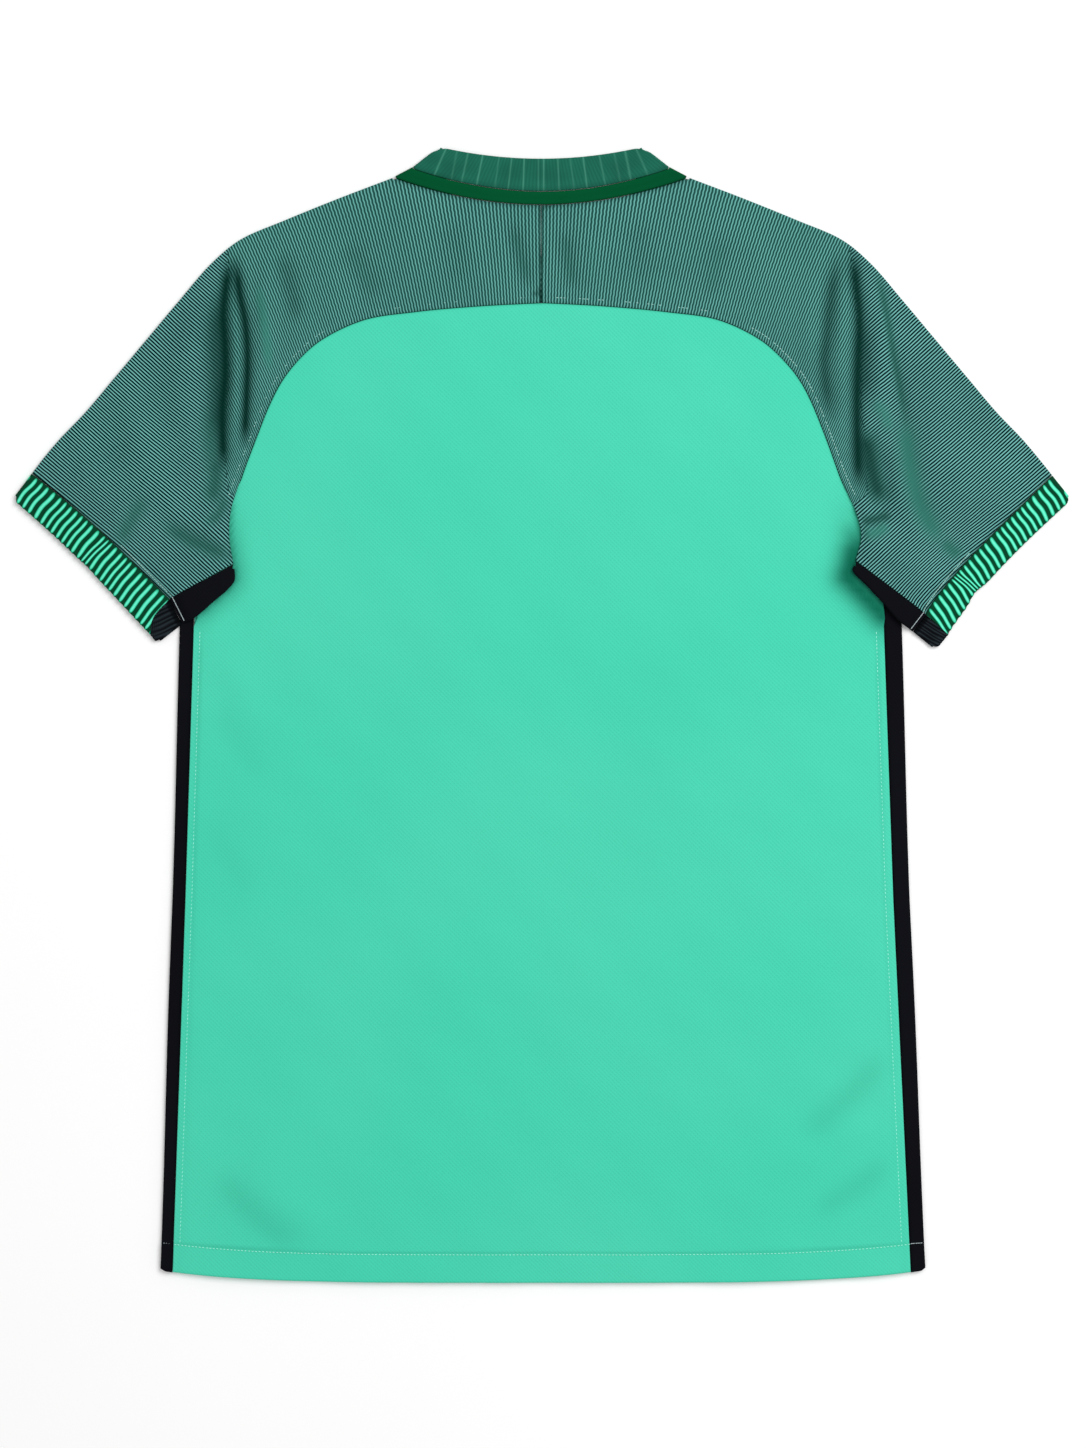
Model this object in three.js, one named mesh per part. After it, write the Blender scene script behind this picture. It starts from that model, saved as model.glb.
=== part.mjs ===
// A short-sleeved football jersey lying flat on its front, with its back up.
// Millimetres. +X is to the right of the laid jersey, +Y points to the neck and +Z up.
// The origin is the middle of the laid outline, on the surface that the jersey rests on.
// Every piece is a wall of cloth: a grid of points in the middle of the cloth, thickened both ways.
import * as THREE from "three";

// Cloth and seams
const CLOTH = 1.2;
const RIB_CLOTH = 1.8;
const SEAM_GAP = 0.3;
const REST_HEIGHT = CLOTH / 2;
const FOLD_RADIUS = 0.9;
const EDGE_HEIGHT = REST_HEIGHT + 2 * FOLD_RADIUS;
const EDGE_INSET = FOLD_RADIUS + CLOTH / 2;
const FOLD_STEPS = 5;
const SAFE_MITRE = 1.4;

// The laid garment
const AXIS_X = -1;
const LOFT = 0.9;
const EDGE_FADE = 24;
const HEM_Y = -386.6;
const HEM_RISE = 7.5;
const HEM_HALF_WIDTH = 253;
const HEM_ROUNDNESS = 4.3;
const HEM_DEPTH = 20;
const HEM_FOLD = 0.4;
const ARMPIT = { u: 234.5, y: 60 };
const SIDE_TOP_Y = 57;

// The neck: the band, the tape below it, and how far the front neckline drops
const BAND_TOP = { halfWidth: 69.8, foldY: 386, backY: 378, frontY: 311.8 };
const BAND_SEAM = { halfWidth: 88.8, foldY: 371.6, backY: 355.6, frontY: 289.4 };
const TAPE_SEAM = { halfWidth: 100.6, foldY: 365.4, backY: 346.7, frontY: 280.5 };
const FRONT_NECKLINE = { halfWidth: 101.1, foldY: 365.4, backY: 346.7, frontY: 280 };
const NECK_FOLD_TOP = 3;
const NECK_FOLD_SLANT = 0.78;
const NECK_FOLD_REACH = 6;
const NECK_SAG = { y: 362, halfWidth: 52, halfDepth: 20, depth: 0.9 };
const FRONT_SEAM_ANGLE = (50 * Math.PI) / 180;
const FRONT_SEAM_ANGLE_FROM_MIDDLE = Math.PI / 2 - FRONT_SEAM_ANGLE;

// Ribs
const COLLAR_RIBS = 34;
const COLLAR_RIB_HEIGHT = 0.35;
const CUFF_RIBS = 26;
const CUFF_RIB_HEIGHT = 0.5;
const UNDERARM_RIBS = 4;
const RIB_PROFILE = [0, 1, 1];

// The overlap of the sleeve on the body beside the armpit
const LOBE = { rise: 3.5, fullBelowY: 148, noneAboveY: 172, roll: 6, cuffFade: 9, flat: 30, fade: 75 };
const RETURN_LEG = 9;

// Rows of the sleeve from the centre back seam to the cuff. crestU and crestY give the folded upper edge,
// seamU and seamY the yoke and raglan seam of the back, frontU and frontY the raglan seam of the front.
// u is measured from the centre back seam to either side.
const NECK_ROWS = 3;
const SLEEVE_ROWS = [
  { crestU: 0, crestY: 346.7, seamU: 0, seamY: 279.8 },
  { crestU: 36, crestY: 349.1, seamU: 45, seamY: 277.4 },
  { crestU: 70, crestY: 355.8, seamU: 86, seamY: 273.6 },
  { crestU: 101, crestY: 365, seamU: 120, seamY: 268.3, frontU: 64.9, frontY: 300 },
  { crestU: 136.7, crestY: 351.4, seamU: 149, seamY: 254.7, frontU: 84, frontY: 273 },
  { crestU: 174, crestY: 336.3, seamU: 164.5, seamY: 241.1, frontU: 104, frontY: 249 },
  { crestU: 205, crestY: 322.7, seamU: 175.5, seamY: 227.5, frontU: 124, frontY: 226 },
  { crestU: 224.5, crestY: 306.5, seamU: 183, seamY: 213.9, frontU: 142, frontY: 205 },
  { crestU: 245.8, crestY: 281.9, seamU: 194, seamY: 186.7, frontU: 163, frontY: 179 },
  { crestU: 268.5, crestY: 254.8, seamU: 204, seamY: 159.5, frontU: 182, frontY: 153 },
  { crestU: 291, crestY: 228, frontU: 199, frontY: 128 },
  { crestU: 310, crestY: 205.5, frontU: 214, frontY: 104 },
  { crestU: 327.4, crestY: 187.3, frontU: 229, frontY: 79 },
  { crestU: 337.6, crestY: 175.3, frontU: 241, frontY: 79 },
];

// What differs from side to side. lobe is the rest of the back seam, where the sleeve lies over the body,
// and fold the edge of the gusset, from its tip down to the armpit.
const SIDES = {
  left: {
    out: -1,
    hemHalfWidth: 259.1,
    waistHalfWidth: 250.9,
    chestHalfWidth: 245.8,
    stripeTop: 11,
    stripeHem: 8.2,
    lobe: [
      { u: 210.5, y: 138 },
      { u: 211.5, y: 120 },
      { u: 208.8, y: 102.3 },
      { u: 230.5, y: 90.4 },
    ],
    fold: [
      { u: 208, y: 99 },
      { u: 208.1, y: 90.8 },
      { u: 213, y: 84.7 },
      { u: 224, y: 75.2 },
      { u: 235.6, y: 65.4 },
    ],
    cuff: { crestSeam: [346.4, 163.8], crestEdge: [359.6, 146.4], seam: [252.6, 78.5], edge: [265.6, 54.2] },
    heel: { seam: [244.1, 61.5], edge: [261.2, 48.2] },
    edgeBow: 1.6,
  },
  right: {
    out: 1,
    hemHalfWidth: 261.8,
    waistHalfWidth: 250.9,
    chestHalfWidth: 245.5,
    stripeTop: 12.8,
    stripeHem: 10,
    lobe: [
      { u: 213.5, y: 138 },
      { u: 217.3, y: 121 },
      { u: 213.5, y: 104.4 },
      { u: 237.5, y: 86.3 },
    ],
    fold: [
      { u: 212.3, y: 101 },
      { u: 211.5, y: 97.6 },
      { u: 221, y: 87.5 },
      { u: 232.6, y: 75.1 },
      { u: 243, y: 63.5 },
    ],
    cuff: { crestSeam: [347.8, 162.6], crestEdge: [361, 146.2], seam: [261.8, 67.8], edge: [276.8, 54.1] },
    heel: { seam: [253, 56.3], edge: [268.4, 43.9] },
    edgeBow: 3.6,
  },
};

// The largest folds: each runs from its start through a bend to its end, with a soft round section.
// A rise above nought is a ridge, below nought a trough.
const FOLDS = [
  { x1: -209, y1: 306, x2: -218, y2: 250, x3: -214, y3: 160, spread: 8, rise: -1.6 },
  { x1: -226, y1: 292, x2: -236, y2: 235, x3: -238, y3: 168, spread: 13, rise: 4.6 },
  { x1: -188, y1: 318, x2: -194, y2: 262, x3: -196, y3: 212, spread: 9, rise: 2.4 },
  { x1: -282, y1: 205, x2: -262, y2: 160, x3: -246, y3: 128, spread: 15, rise: 2.6 },
  { x1: -320, y1: 170, x2: -300, y2: 148, x3: -281, y3: 124, spread: 12, rise: 1.8 },
  { x1: -302, y1: 182, x2: -288, y2: 155, x3: -270, y3: 126, spread: 8, rise: -1.2 },
  { x1: 216, y1: 296, x2: 217, y2: 240, x3: 214, y3: 158, spread: 8, rise: -1.6 },
  { x1: 233, y1: 288, x2: 236, y2: 232, x3: 240, y3: 176, spread: 12, rise: 4.8 },
  { x1: 192, y1: 314, x2: 196, y2: 262, x3: 198, y3: 206, spread: 9, rise: 2.2 },
  { x1: 236, y1: 262, x2: 250, y2: 190, x3: 268, y3: 104, spread: 9, rise: -1.8 },
  { x1: 282, y1: 212, x2: 276, y2: 160, x3: 284, y3: 112, spread: 15, rise: 2.8 },
  { x1: 318, y1: 176, x2: 312, y2: 150, x3: 306, y3: 122, spread: 12, rise: 1.6 },
  { x1: -130, y1: 318, x2: -122, y2: 300, x3: -113, y3: 284, spread: 10, rise: -0.8 },
  { x1: -150, y1: 326, x2: -146, y2: 300, x3: -138, y3: 276, spread: 12, rise: 1.3 },
  { x1: 148, y1: 326, x2: 142, y2: 300, x3: 136, y3: 276, spread: 12, rise: 1.2 },
  { x1: -216, y1: -320, x2: -194, y2: -342, x3: -172, y3: -361, spread: 12, rise: -1.0 },
  { x1: 234, y1: -234, x2: 206, y2: -262, x3: 178, y3: -287, spread: 12, rise: -1.0 },
  { x1: 236, y1: -308, x2: 210, y2: -324, x3: 187, y3: -338, spread: 11, rise: -0.9 },
  { x1: -223, y1: 2, x2: -208, y2: -20, x3: -196, y3: -41, spread: 11, rise: -0.9 },
  { x1: -229, y1: -72, x2: -214, y2: -98, x3: -201, y3: -126, spread: 12, rise: -0.9 },
];
const FOLD_SAMPLES = 12;
const LOWEST_BACK = 2.25;

const COLOURS = {
  mint: 0x4ddcb6,
  pinstripe: 0x4a8a82,
  black: 0x0e0e12,
  cuff: 0x4cc39a,
  collar: 0x22694f,
  tape: 0x0a4d2c,
};

// Small helpers

function lerp(a, b, t) {
  return a + (b - a) * t;
}

function mix(a, b, t) {
  return new THREE.Vector2(lerp(a.x, b.x, t), lerp(a.y, b.y, t));
}

function smooth(edge0, edge1, value) {
  return THREE.MathUtils.smoothstep(value, edge0, edge1);
}

function steps(count) {
  return Array.from({ length: count + 1 }, (_, index) => index / count);
}

/** A smooth plane curve through points, read at t from 0 to 1, with a row of points at equal steps of t. */
function curveThrough(points) {
  const curve = new THREE.CatmullRomCurve3(
    points.map((point) => new THREE.Vector3(point.x, point.y, 0)),
    false,
    "centripetal",
  );
  return (t) => {
    const point = curve.getPoint(t);
    return new THREE.Vector2(point.x, point.y);
  };
}

/** Distance from a point to a chain of plane points. */
function distanceToChain(x, y, chain) {
  let best = Infinity;
  for (let index = 1; index < chain.length; index++) {
    const a = chain[index - 1];
    const b = chain[index];
    const dx = b.x - a.x;
    const dy = b.y - a.y;
    const along = THREE.MathUtils.clamp(((x - a.x) * dx + (y - a.y) * dy) / (dx * dx + dy * dy), 0, 1);
    best = Math.min(best, Math.hypot(x - a.x - along * dx, y - a.y - along * dy));
  }
  return best;
}

// The plan of the laid garment

function onSide(side, u, y) {
  return new THREE.Vector2(AXIS_X + side.out * u, y);
}

function hemY(x) {
  return HEM_Y + HEM_RISE * Math.abs((x - AXIS_X) / HEM_HALF_WIDTH) ** HEM_ROUNDNESS;
}

/** Half width of the body at height y, from its three measured widths. */
function bodyHalfWidth(side, y) {
  const waistY = -126;
  return y > waistY
    ? lerp(side.waistHalfWidth, side.chestHalfWidth, (y - waistY) / (SIDE_TOP_Y - waistY))
    : lerp(side.hemHalfWidth, side.waistHalfWidth, (y - HEM_Y) / (waistY - HEM_Y));
}

/** Distance of the side seam from the centre back at height y. */
function sideSeamU(side, y) {
  const share = (SIDE_TOP_Y - y) / (SIDE_TOP_Y - HEM_Y);
  return bodyHalfWidth(side, y) - lerp(side.stripeTop, side.stripeHem, share);
}

function crestCurve(side) {
  const rows = SLEEVE_ROWS.slice(NECK_ROWS).map((row) => onSide(side, row.crestU, row.crestY));
  return curveThrough([...rows, onSide(side, ...side.cuff.crestSeam)]);
}

/** The upper edge of the back of the sleeve: the tape's lower edge, then the folded crest. */
function sleeveTop(side) {
  const crest = crestCurve(side);
  const rowCount = SLEEVE_ROWS.length;
  return (row) => {
    if (row >= NECK_ROWS) return crest((row - NECK_ROWS) / (rowCount - NECK_ROWS));
    const at = Math.floor(row);
    const next = SLEEVE_ROWS[Math.min(at + 1, NECK_ROWS)];
    const u = lerp(SLEEVE_ROWS[at].crestU, next.crestU, row - at);
    return onSide(side, u, neckBackY(TAPE_SEAM, u) - SEAM_GAP);
  };
}

/** Half of the yoke seam and the raglan seam of the back, down to the gusset's seam with the cuff. */
function sleeveBackSeam(side) {
  const rows = SLEEVE_ROWS.filter((row) => row.seamU !== undefined);
  const points = rows.map((row) => onSide(side, row.seamU, row.seamY));
  const tip = side.lobe.length - 1;
  const lobe = side.lobe.slice(0, tip).map((point) => onSide(side, point.u, point.y));
  const curved = curveThrough([...points, ...lobe]);
  const curvedRows = points.length + tip - 1;
  const cuffEnd = onSide(side, ...side.cuff.seam);
  const gussetTip = curved(1);
  return (row) =>
    row <= curvedRows
      ? curved(row / curvedRows)
      : mix(gussetTip, cuffEnd, (row - curvedRows) / (SLEEVE_ROWS.length - curvedRows));
}

/** The raglan seam of the front, straight from row to row. */
function sleeveFrontSeam(side) {
  const points = SLEEVE_ROWS.slice(NECK_ROWS).map((row) => onSide(side, row.frontU, row.frontY));
  points.push(onSide(side, ...side.cuff.seam));
  return (row) => {
    const before = Math.min(Math.floor(row) - NECK_ROWS, points.length - 2);
    return mix(points[before], points[before + 1], row - NECK_ROWS - before);
  };
}

function neckBackY(line, u) {
  return line.backY + (line.foldY - line.backY) * (u / line.halfWidth) ** 2;
}

/** A point of a neck line: part runs from -1 at the left fold to 1 at the right one. */
function neckBack(line, part) {
  const u = line.halfWidth * part;
  return new THREE.Vector2(AXIS_X + u, neckBackY(line, u));
}

/** The same on the front, along half an ellipse. */
function neckFront(line, part) {
  const angle = Math.acos(part);
  return new THREE.Vector2(
    AXIS_X + line.halfWidth * part,
    line.foldY - (line.foldY - line.frontY) * Math.sin(angle),
  );
}

/** The outline of the whole laid garment, one side of it after the other. */
function outlineOf(side) {
  const crest = crestCurve(side);
  const points = [neckBack(BAND_TOP, 0), neckBack(BAND_TOP, side.out), neckBack(BAND_SEAM, side.out)];
  steps(24).forEach((t) => points.push(crest(t)));
  points.push(onSide(side, ...side.cuff.crestEdge), onSide(side, ...side.heel.edge));
  points.push(onSide(side, ...side.heel.seam), onSide(side, bodyHalfWidth(side, SIDE_TOP_Y), SIDE_TOP_Y));
  points.push(onSide(side, side.waistHalfWidth, -126), onSide(side, side.hemHalfWidth, HEM_Y + HEM_RISE));
  return points;
}

const OUTLINES = Object.values(SIDES).map(outlineOf);
const FOLD_LINES = FOLDS.map((fold) => {
  const line = new THREE.QuadraticBezierCurve(
    new THREE.Vector2(fold.x1, fold.y1),
    new THREE.Vector2(2 * fold.x2 - (fold.x1 + fold.x3) / 2, 2 * fold.y2 - (fold.y1 + fold.y3) / 2),
    new THREE.Vector2(fold.x3, fold.y3),
  );
  return line.getPoints(FOLD_SAMPLES);
});

/** Height of the middle of the back cloth: level with the edge folds, lofted inside, with the folds. */
function backHeight(x, y) {
  const inside = Math.min(...OUTLINES.map((outline) => distanceToChain(x, y, outline)));
  let rise = LOFT;
  FOLDS.forEach((fold, index) => {
    const away = distanceToChain(x, y, FOLD_LINES[index]) / fold.spread;
    rise += fold.rise * Math.exp(-away * away);
  });
  const sag =
    NECK_SAG.depth *
    Math.exp(-(((x - AXIS_X) / NECK_SAG.halfWidth) ** 4) - ((y - NECK_SAG.y) / NECK_SAG.halfDepth) ** 2);
  const height = EDGE_HEIGHT + rise * smooth(0, EDGE_FADE, inside);
  return Math.max(height, LOWEST_BACK) - sag;
}

/** How far the sleeve and gusset stand above the body beside the armpit. */
function lobeRise(side, x, y) {
  const seamLine = [side.cuff.crestSeam, side.cuff.seam, side.heel.seam].map((point) => onSide(side, ...point));
  const foldLine = [...side.lobe.slice(0, -1), ...side.fold].map((point) => onSide(side, point.u, point.y));
  return (
    LOBE.rise *
    (1 - smooth(LOBE.fullBelowY, LOBE.noneAboveY, y)) *
    smooth(0, LOBE.cuffFade, distanceToChain(x, y, seamLine)) *
    (1 - smooth(LOBE.flat, LOBE.fade, distanceToChain(x, y, foldLine)))
  );
}

// Walls of cloth

/** Sum of the unit steps to and from a grid point along one direction of the grid. */
function tangentAt(before, here, after) {
  const tangent = new THREE.Vector3();
  if (before) tangent.add(here.clone().sub(before).normalize());
  if (after) tangent.add(after.clone().sub(here).normalize());
  return { tangent, mitre: before && after ? 2 / tangent.length() : 1 };
}

/**
 * A closed wall of cloth through a grid of middle points. raise(i, j) lifts the outer face alone,
 * has(i, j) says which cells of the grid are cloth, and loop joins the last row to the first.
 */
function clothWall(grid, { thickness = CLOTH, raise = () => 0, has = () => true, loop = false } = {}) {
  const rows = grid.length;
  const columns = grid[0].length;
  const cellRows = loop ? rows : rows - 1;
  const wrap = (i) => (loop ? (i + rows) % rows : i);
  const cell = (i, j) => {
    const row = wrap(i);
    return row >= 0 && row < cellRows && j >= 0 && j < columns - 1 && has(row, j);
  };
  const used = (i, j) => cell(i, j) || cell(i - 1, j) || cell(i, j - 1) || cell(i - 1, j - 1);
  const joinedAlongRows = (i, j) => cell(i, j) || cell(i, j - 1);
  const joinedAlongColumns = (i, j) => cell(i, j) || cell(i - 1, j);
  const positions = [];
  const index = new Map();
  for (let i = 0; i < rows; i++) {
    for (let j = 0; j < columns; j++) {
      if (!used(i, j)) continue;
      const here = grid[i][j];
      const alongI = tangentAt(
        joinedAlongRows(i - 1, j) && grid[wrap(i - 1)][j],
        here,
        joinedAlongRows(i, j) && grid[wrap(i + 1)][j],
      );
      const alongJ = tangentAt(
        joinedAlongColumns(i, j - 1) && grid[i][j - 1],
        here,
        joinedAlongColumns(i, j) && grid[i][j + 1],
      );
      const normal = alongI.tangent.cross(alongJ.tangent).normalize();
      const half = (thickness / 2) * Math.min(alongI.mitre * alongJ.mitre, SAFE_MITRE);
      index.set(i * columns + j, positions.length / 6);
      for (const reach of [half + raise(i, j), -half]) {
        const point = here.clone().addScaledVector(normal, reach);
        positions.push(point.x, point.y, Math.max(point.z, 0));
      }
    }
  }
  const outer = (i, j) => index.get(wrap(i) * columns + j) * 2;
  const inner = (i, j) => outer(i, j) + 1;
  const faces = [];
  const quad = (a, b, c, d) => faces.push(a, b, c, a, c, d);
  for (let i = 0; i < cellRows; i++) {
    for (let j = 0; j < columns - 1; j++) {
      if (!cell(i, j)) continue;
      quad(outer(i, j), outer(i + 1, j), outer(i + 1, j + 1), outer(i, j + 1));
      quad(inner(i, j), inner(i, j + 1), inner(i + 1, j + 1), inner(i + 1, j));
      if (!cell(i - 1, j)) quad(outer(i, j), outer(i, j + 1), inner(i, j + 1), inner(i, j));
      if (!cell(i + 1, j)) quad(outer(i + 1, j + 1), outer(i + 1, j), inner(i + 1, j), inner(i + 1, j + 1));
      if (!cell(i, j - 1)) quad(outer(i + 1, j), outer(i, j), inner(i, j), inner(i + 1, j));
      if (!cell(i, j + 1)) quad(outer(i, j + 1), outer(i + 1, j + 1), inner(i + 1, j + 1), inner(i, j + 1));
    }
  }
  const geometry = new THREE.BufferGeometry();
  geometry.setAttribute("position", new THREE.Float32BufferAttribute(positions, 3));
  geometry.setIndex(faces);
  return facingOut(geometry);
}

/** Turns every face over if the wall was built inside out, as a mirrored piece is. */
function facingOut(geometry) {
  const position = geometry.getAttribute("position");
  const faces = geometry.getIndex().array;
  const corner = (n) => new THREE.Vector3().fromBufferAttribute(position, faces[n]);
  let volume = 0;
  for (let n = 0; n < faces.length; n += 3) volume += corner(n).dot(corner(n + 1).cross(corner(n + 2)));
  if (volume < 0) {
    for (let n = 0; n < faces.length; n += 3) [faces[n], faces[n + 1]] = [faces[n + 1], faces[n]];
  }
  return geometry;
}

function at(point, height) {
  return new THREE.Vector3(point.x, point.y, height);
}

/** Middle points round an edge fold, from the upper cloth to the lower, without its two ends. */
function foldPoints(centre, outward, topHeight, restHeight) {
  const radius = (topHeight - restHeight) / 2;
  return steps(FOLD_STEPS)
    .slice(1, -1)
    .map((part) => {
      const angle = part * Math.PI;
      const reach = radius * Math.sin(angle);
      return new THREE.Vector3(
        centre.x + outward.x * reach,
        centre.y + outward.y * reach,
        restHeight + radius * (1 + Math.cos(angle)),
      );
    });
}

/** Unit normal of a plane curve at t, pointing away from a point inside. */
function outwardNormal(before, after, inside) {
  const along = after.clone().sub(before).normalize();
  const normal = new THREE.Vector2(along.y, -along.x);
  const away = before.clone().sub(inside);
  return normal.dot(away) < 0 ? normal.negate() : normal;
}

// The pieces

/** Four curves filled with a smooth grid of plane points. */
function patch({ bottom, top, start, end, across, up }) {
  const corner = [bottom(0), bottom(1), top(0), top(1)];
  return up.map((v) =>
    across.map((h) => {
      const sides = mix(start(v), end(v), h);
      const levels = mix(bottom(h), top(h), v);
      const corners = mix(mix(corner[0], corner[1], h), mix(corner[2], corner[3], h), v);
      return sides.add(levels).sub(corners);
    }),
  );
}

const BODY_TOP_ROW = 5;
const BODY_COLUMNS = 20;
const BODY_LOW_ROWS = 17;
const LAPPED_ROWS = 3;
const BODY_HIGH_ROWS = LAPPED_ROWS + 8;
const HEM_ROWS = 2;

/** Side edge of the back panel: side seam to the armpit, then the raglan seam to the yoke's corner. */
function backBodySide(side) {
  const seam = sleeveBackSeam(side);
  const lapped = SLEEVE_ROWS.filter((row) => row.seamU !== undefined).length - 1;
  const armpit = onSide(side, ARMPIT.u, ARMPIT.y);
  const lapStart = seam(lapped);
  const inset = SEAM_GAP / 2;
  return (v) => {
    if (v <= 0.5) {
      const y = bodyRowY(v * 2);
      return onSide(side, Math.min(sideSeamU(side, y), ARMPIT.u + 20) - inset, y);
    }
    const row = (v - 0.5) * 2;
    const lap = LAPPED_ROWS / BODY_HIGH_ROWS;
    const above = (row - lap) / (1 - lap);
    const point = row < lap ? mix(armpit, lapStart, row / lap) : seam(lerp(lapped, BODY_TOP_ROW, above));
    return point.add(onSide(side, -inset, 0).sub(onSide(side, 0, 0)));
  };
}

/** Height of a row of the body below the armpit, with the hem's rows close together. */
function bodyRowY(part) {
  const hemPart = HEM_ROWS / BODY_LOW_ROWS;
  const hemTop = HEM_Y + HEM_RISE + HEM_DEPTH;
  return part <= hemPart
    ? lerp(HEM_Y + HEM_RISE, hemTop, part / hemPart)
    : lerp(hemTop, ARMPIT.y, (part - hemPart) / (1 - hemPart));
}

function bodyRows() {
  const low = steps(BODY_LOW_ROWS).map((part) => part / 2);
  const high = steps(BODY_HIGH_ROWS).slice(1).map((part) => 0.5 + part / 2);
  return [...low, ...high];
}

function hemLine(start, end) {
  return (h) => {
    const x = lerp(start.x, end.x, h);
    return new THREE.Vector2(x, hemY(x));
  };
}

function makeBackBody() {
  const start = backBodySide(SIDES.left);
  const end = backBodySide(SIDES.right);
  const seams = { left: sleeveBackSeam(SIDES.left), right: sleeveBackSeam(SIDES.right) };
  const yoke = (h) => {
    const away = Math.abs(h - 0.5) * 2;
    const seam = h < 0.5 ? seams.left : seams.right;
    const point = seam(away * BODY_TOP_ROW);
    return point.sub(new THREE.Vector2(0, (SEAM_GAP / 2) * (1 + 0.4 * away)));
  };
  const plan = patch({
    bottom: hemLine(start(0), end(0)),
    top: (h) => (h === 0 ? start(1) : h === 1 ? end(1) : yoke(h)),
    start,
    end,
    across: steps(BODY_COLUMNS),
    up: bodyRows(),
  });
  const grid = plan.map((row) => row.map((point) => at(point, backHeight(point.x, point.y))));
  return clothWall(grid, { raise: (i) => (i < HEM_ROWS ? HEM_FOLD : 0) });
}

function makeFrontBody() {
  const inset = SEAM_GAP / 2;
  const sideEdge = (side) => {
    const seam = sleeveFrontSeam(side);
    const lastRow = SLEEVE_ROWS.length - 2;
    const armpit = onSide(side, ARMPIT.u, ARMPIT.y);
    const lap = 0.1;
    return (v) => {
      if (v <= 0.5) {
        const y = bodyRowY(v * 2);
        return onSide(side, sideSeamU(side, y) - inset, y);
      }
      const row = (v - 0.5) * 2;
      const above = (row - lap) / (1 - lap);
      const point = row < lap ? mix(armpit, seam(lastRow), row / lap) : seam(lerp(lastRow, NECK_ROWS, above));
      return point.add(onSide(side, -SEAM_GAP, 0).sub(onSide(side, 0, 0)));
    };
  };
  const start = sideEdge(SIDES.left);
  const end = sideEdge(SIDES.right);
  const neckline = (h) => {
    const start = Math.PI / 2 + FRONT_SEAM_ANGLE_FROM_MIDDLE;
    return neckFront(FRONT_NECKLINE, Math.cos(lerp(start, Math.PI - start, h)));
  };
  const plan = patch({
    bottom: hemLine(start(0), end(0)),
    top: (h) => (h === 0 ? start(1) : h === 1 ? end(1) : neckline(h)),
    start,
    end,
    across: steps(14),
    up: [...steps(6).map((part) => part / 2), ...steps(10).slice(1).map((part) => 0.5 + part / 2)],
  });
  return clothWall(plan.map((row) => row.map((point) => at(point, REST_HEIGHT))));
}

const SLEEVE_STEPS = 2;
const BACK_COLUMNS = 12;
const FRONT_COLUMNS = 6;

/** A raglan sleeve: the back half of the yoke and arm, the crest fold, and the front half on the surface. */
function makeSleeve(side) {
  const top = sleeveTop(side);
  const seam = sleeveBackSeam(side);
  const front = sleeveFrontSeam(side);
  const lastRow = SLEEVE_ROWS.length;
  const inward = new THREE.Vector2(-side.out, 0);
  const grid = steps(lastRow * SLEEVE_STEPS).map((part) => {
    const row = part * lastRow;
    const crest = top(row);
    const near = [top(Math.max(row - 0.1, NECK_ROWS)), top(Math.min(row + 0.1, lastRow))];
    const folded = row >= NECK_ROWS;
    const outward = folded ? outwardNormal(near[0], near[1], seam(row)) : new THREE.Vector2();
    const shift = sleeveEndShift(side, row, lastRow);
    const centre = crest.clone().addScaledVector(outward, -EDGE_INSET).add(shift);
    const seamPoint = seam(row).add(shift).addScaledVector(inward, -SEAM_GAP / 2);
    const back = steps(BACK_COLUMNS).map((q) => {
      const point = mix(seamPoint, centre, easeIn(q));
      return at(point, sleeveHeight(side, point, seamPoint));
    });
    back[BACK_COLUMNS].z = folded ? EDGE_HEIGHT : back[BACK_COLUMNS].z;
    const round = foldPoints(centre, outward, EDGE_HEIGHT, REST_HEIGHT);
    const frontSeamPoint = front(Math.max(row, NECK_ROWS)).add(shift);
    const below = steps(FRONT_COLUMNS).map((q) => {
      const point = mix(centre, frontSeamPoint, q).add(neckBow(side, row, q));
      return at(point, REST_HEIGHT);
    });
    return [...back, ...round, ...below];
  });
  const neckSteps = NECK_ROWS * SLEEVE_STEPS;
  return clothWall(grid, { has: (i, j) => i >= neckSteps || j < BACK_COLUMNS });
}

/** Columns closer together beside the seam. */
function easeIn(q) {
  return lerp(q * q, q, 0.75);
}

/** Keeps the sleeve's two ends half a gap from the centre back seam and from the cuff. */
function sleeveEndShift(side, row, lastRow) {
  if (row === 0) return new THREE.Vector2((side.out * SEAM_GAP) / 2, 0);
  if (row < lastRow) return new THREE.Vector2();
  return new THREE.Vector2(-side.out, 1).normalize().multiplyScalar(SEAM_GAP / 2);
}

/** Height of the back of the sleeve, rolled down onto the body along the lapped part of its seam. */
function sleeveHeight(side, point, seamPoint) {
  const rise = lobeRise(side, point.x, point.y);
  const rolled = 1 - smooth(0, LOBE.roll, point.distanceTo(seamPoint));
  const onLap = 1 - smooth(LOBE.noneAboveY, LOBE.noneAboveY + 1, seamPoint.y);
  const beforeGusset = smooth(side.lobe.at(-2).y - 4, side.lobe.at(-2).y, seamPoint.y);
  const roll = rolled * onLap * beforeGusset * (2 * FOLD_RADIUS) * (rise / LOBE.rise);
  return backHeight(point.x, point.y) + rise - roll;
}

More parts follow.
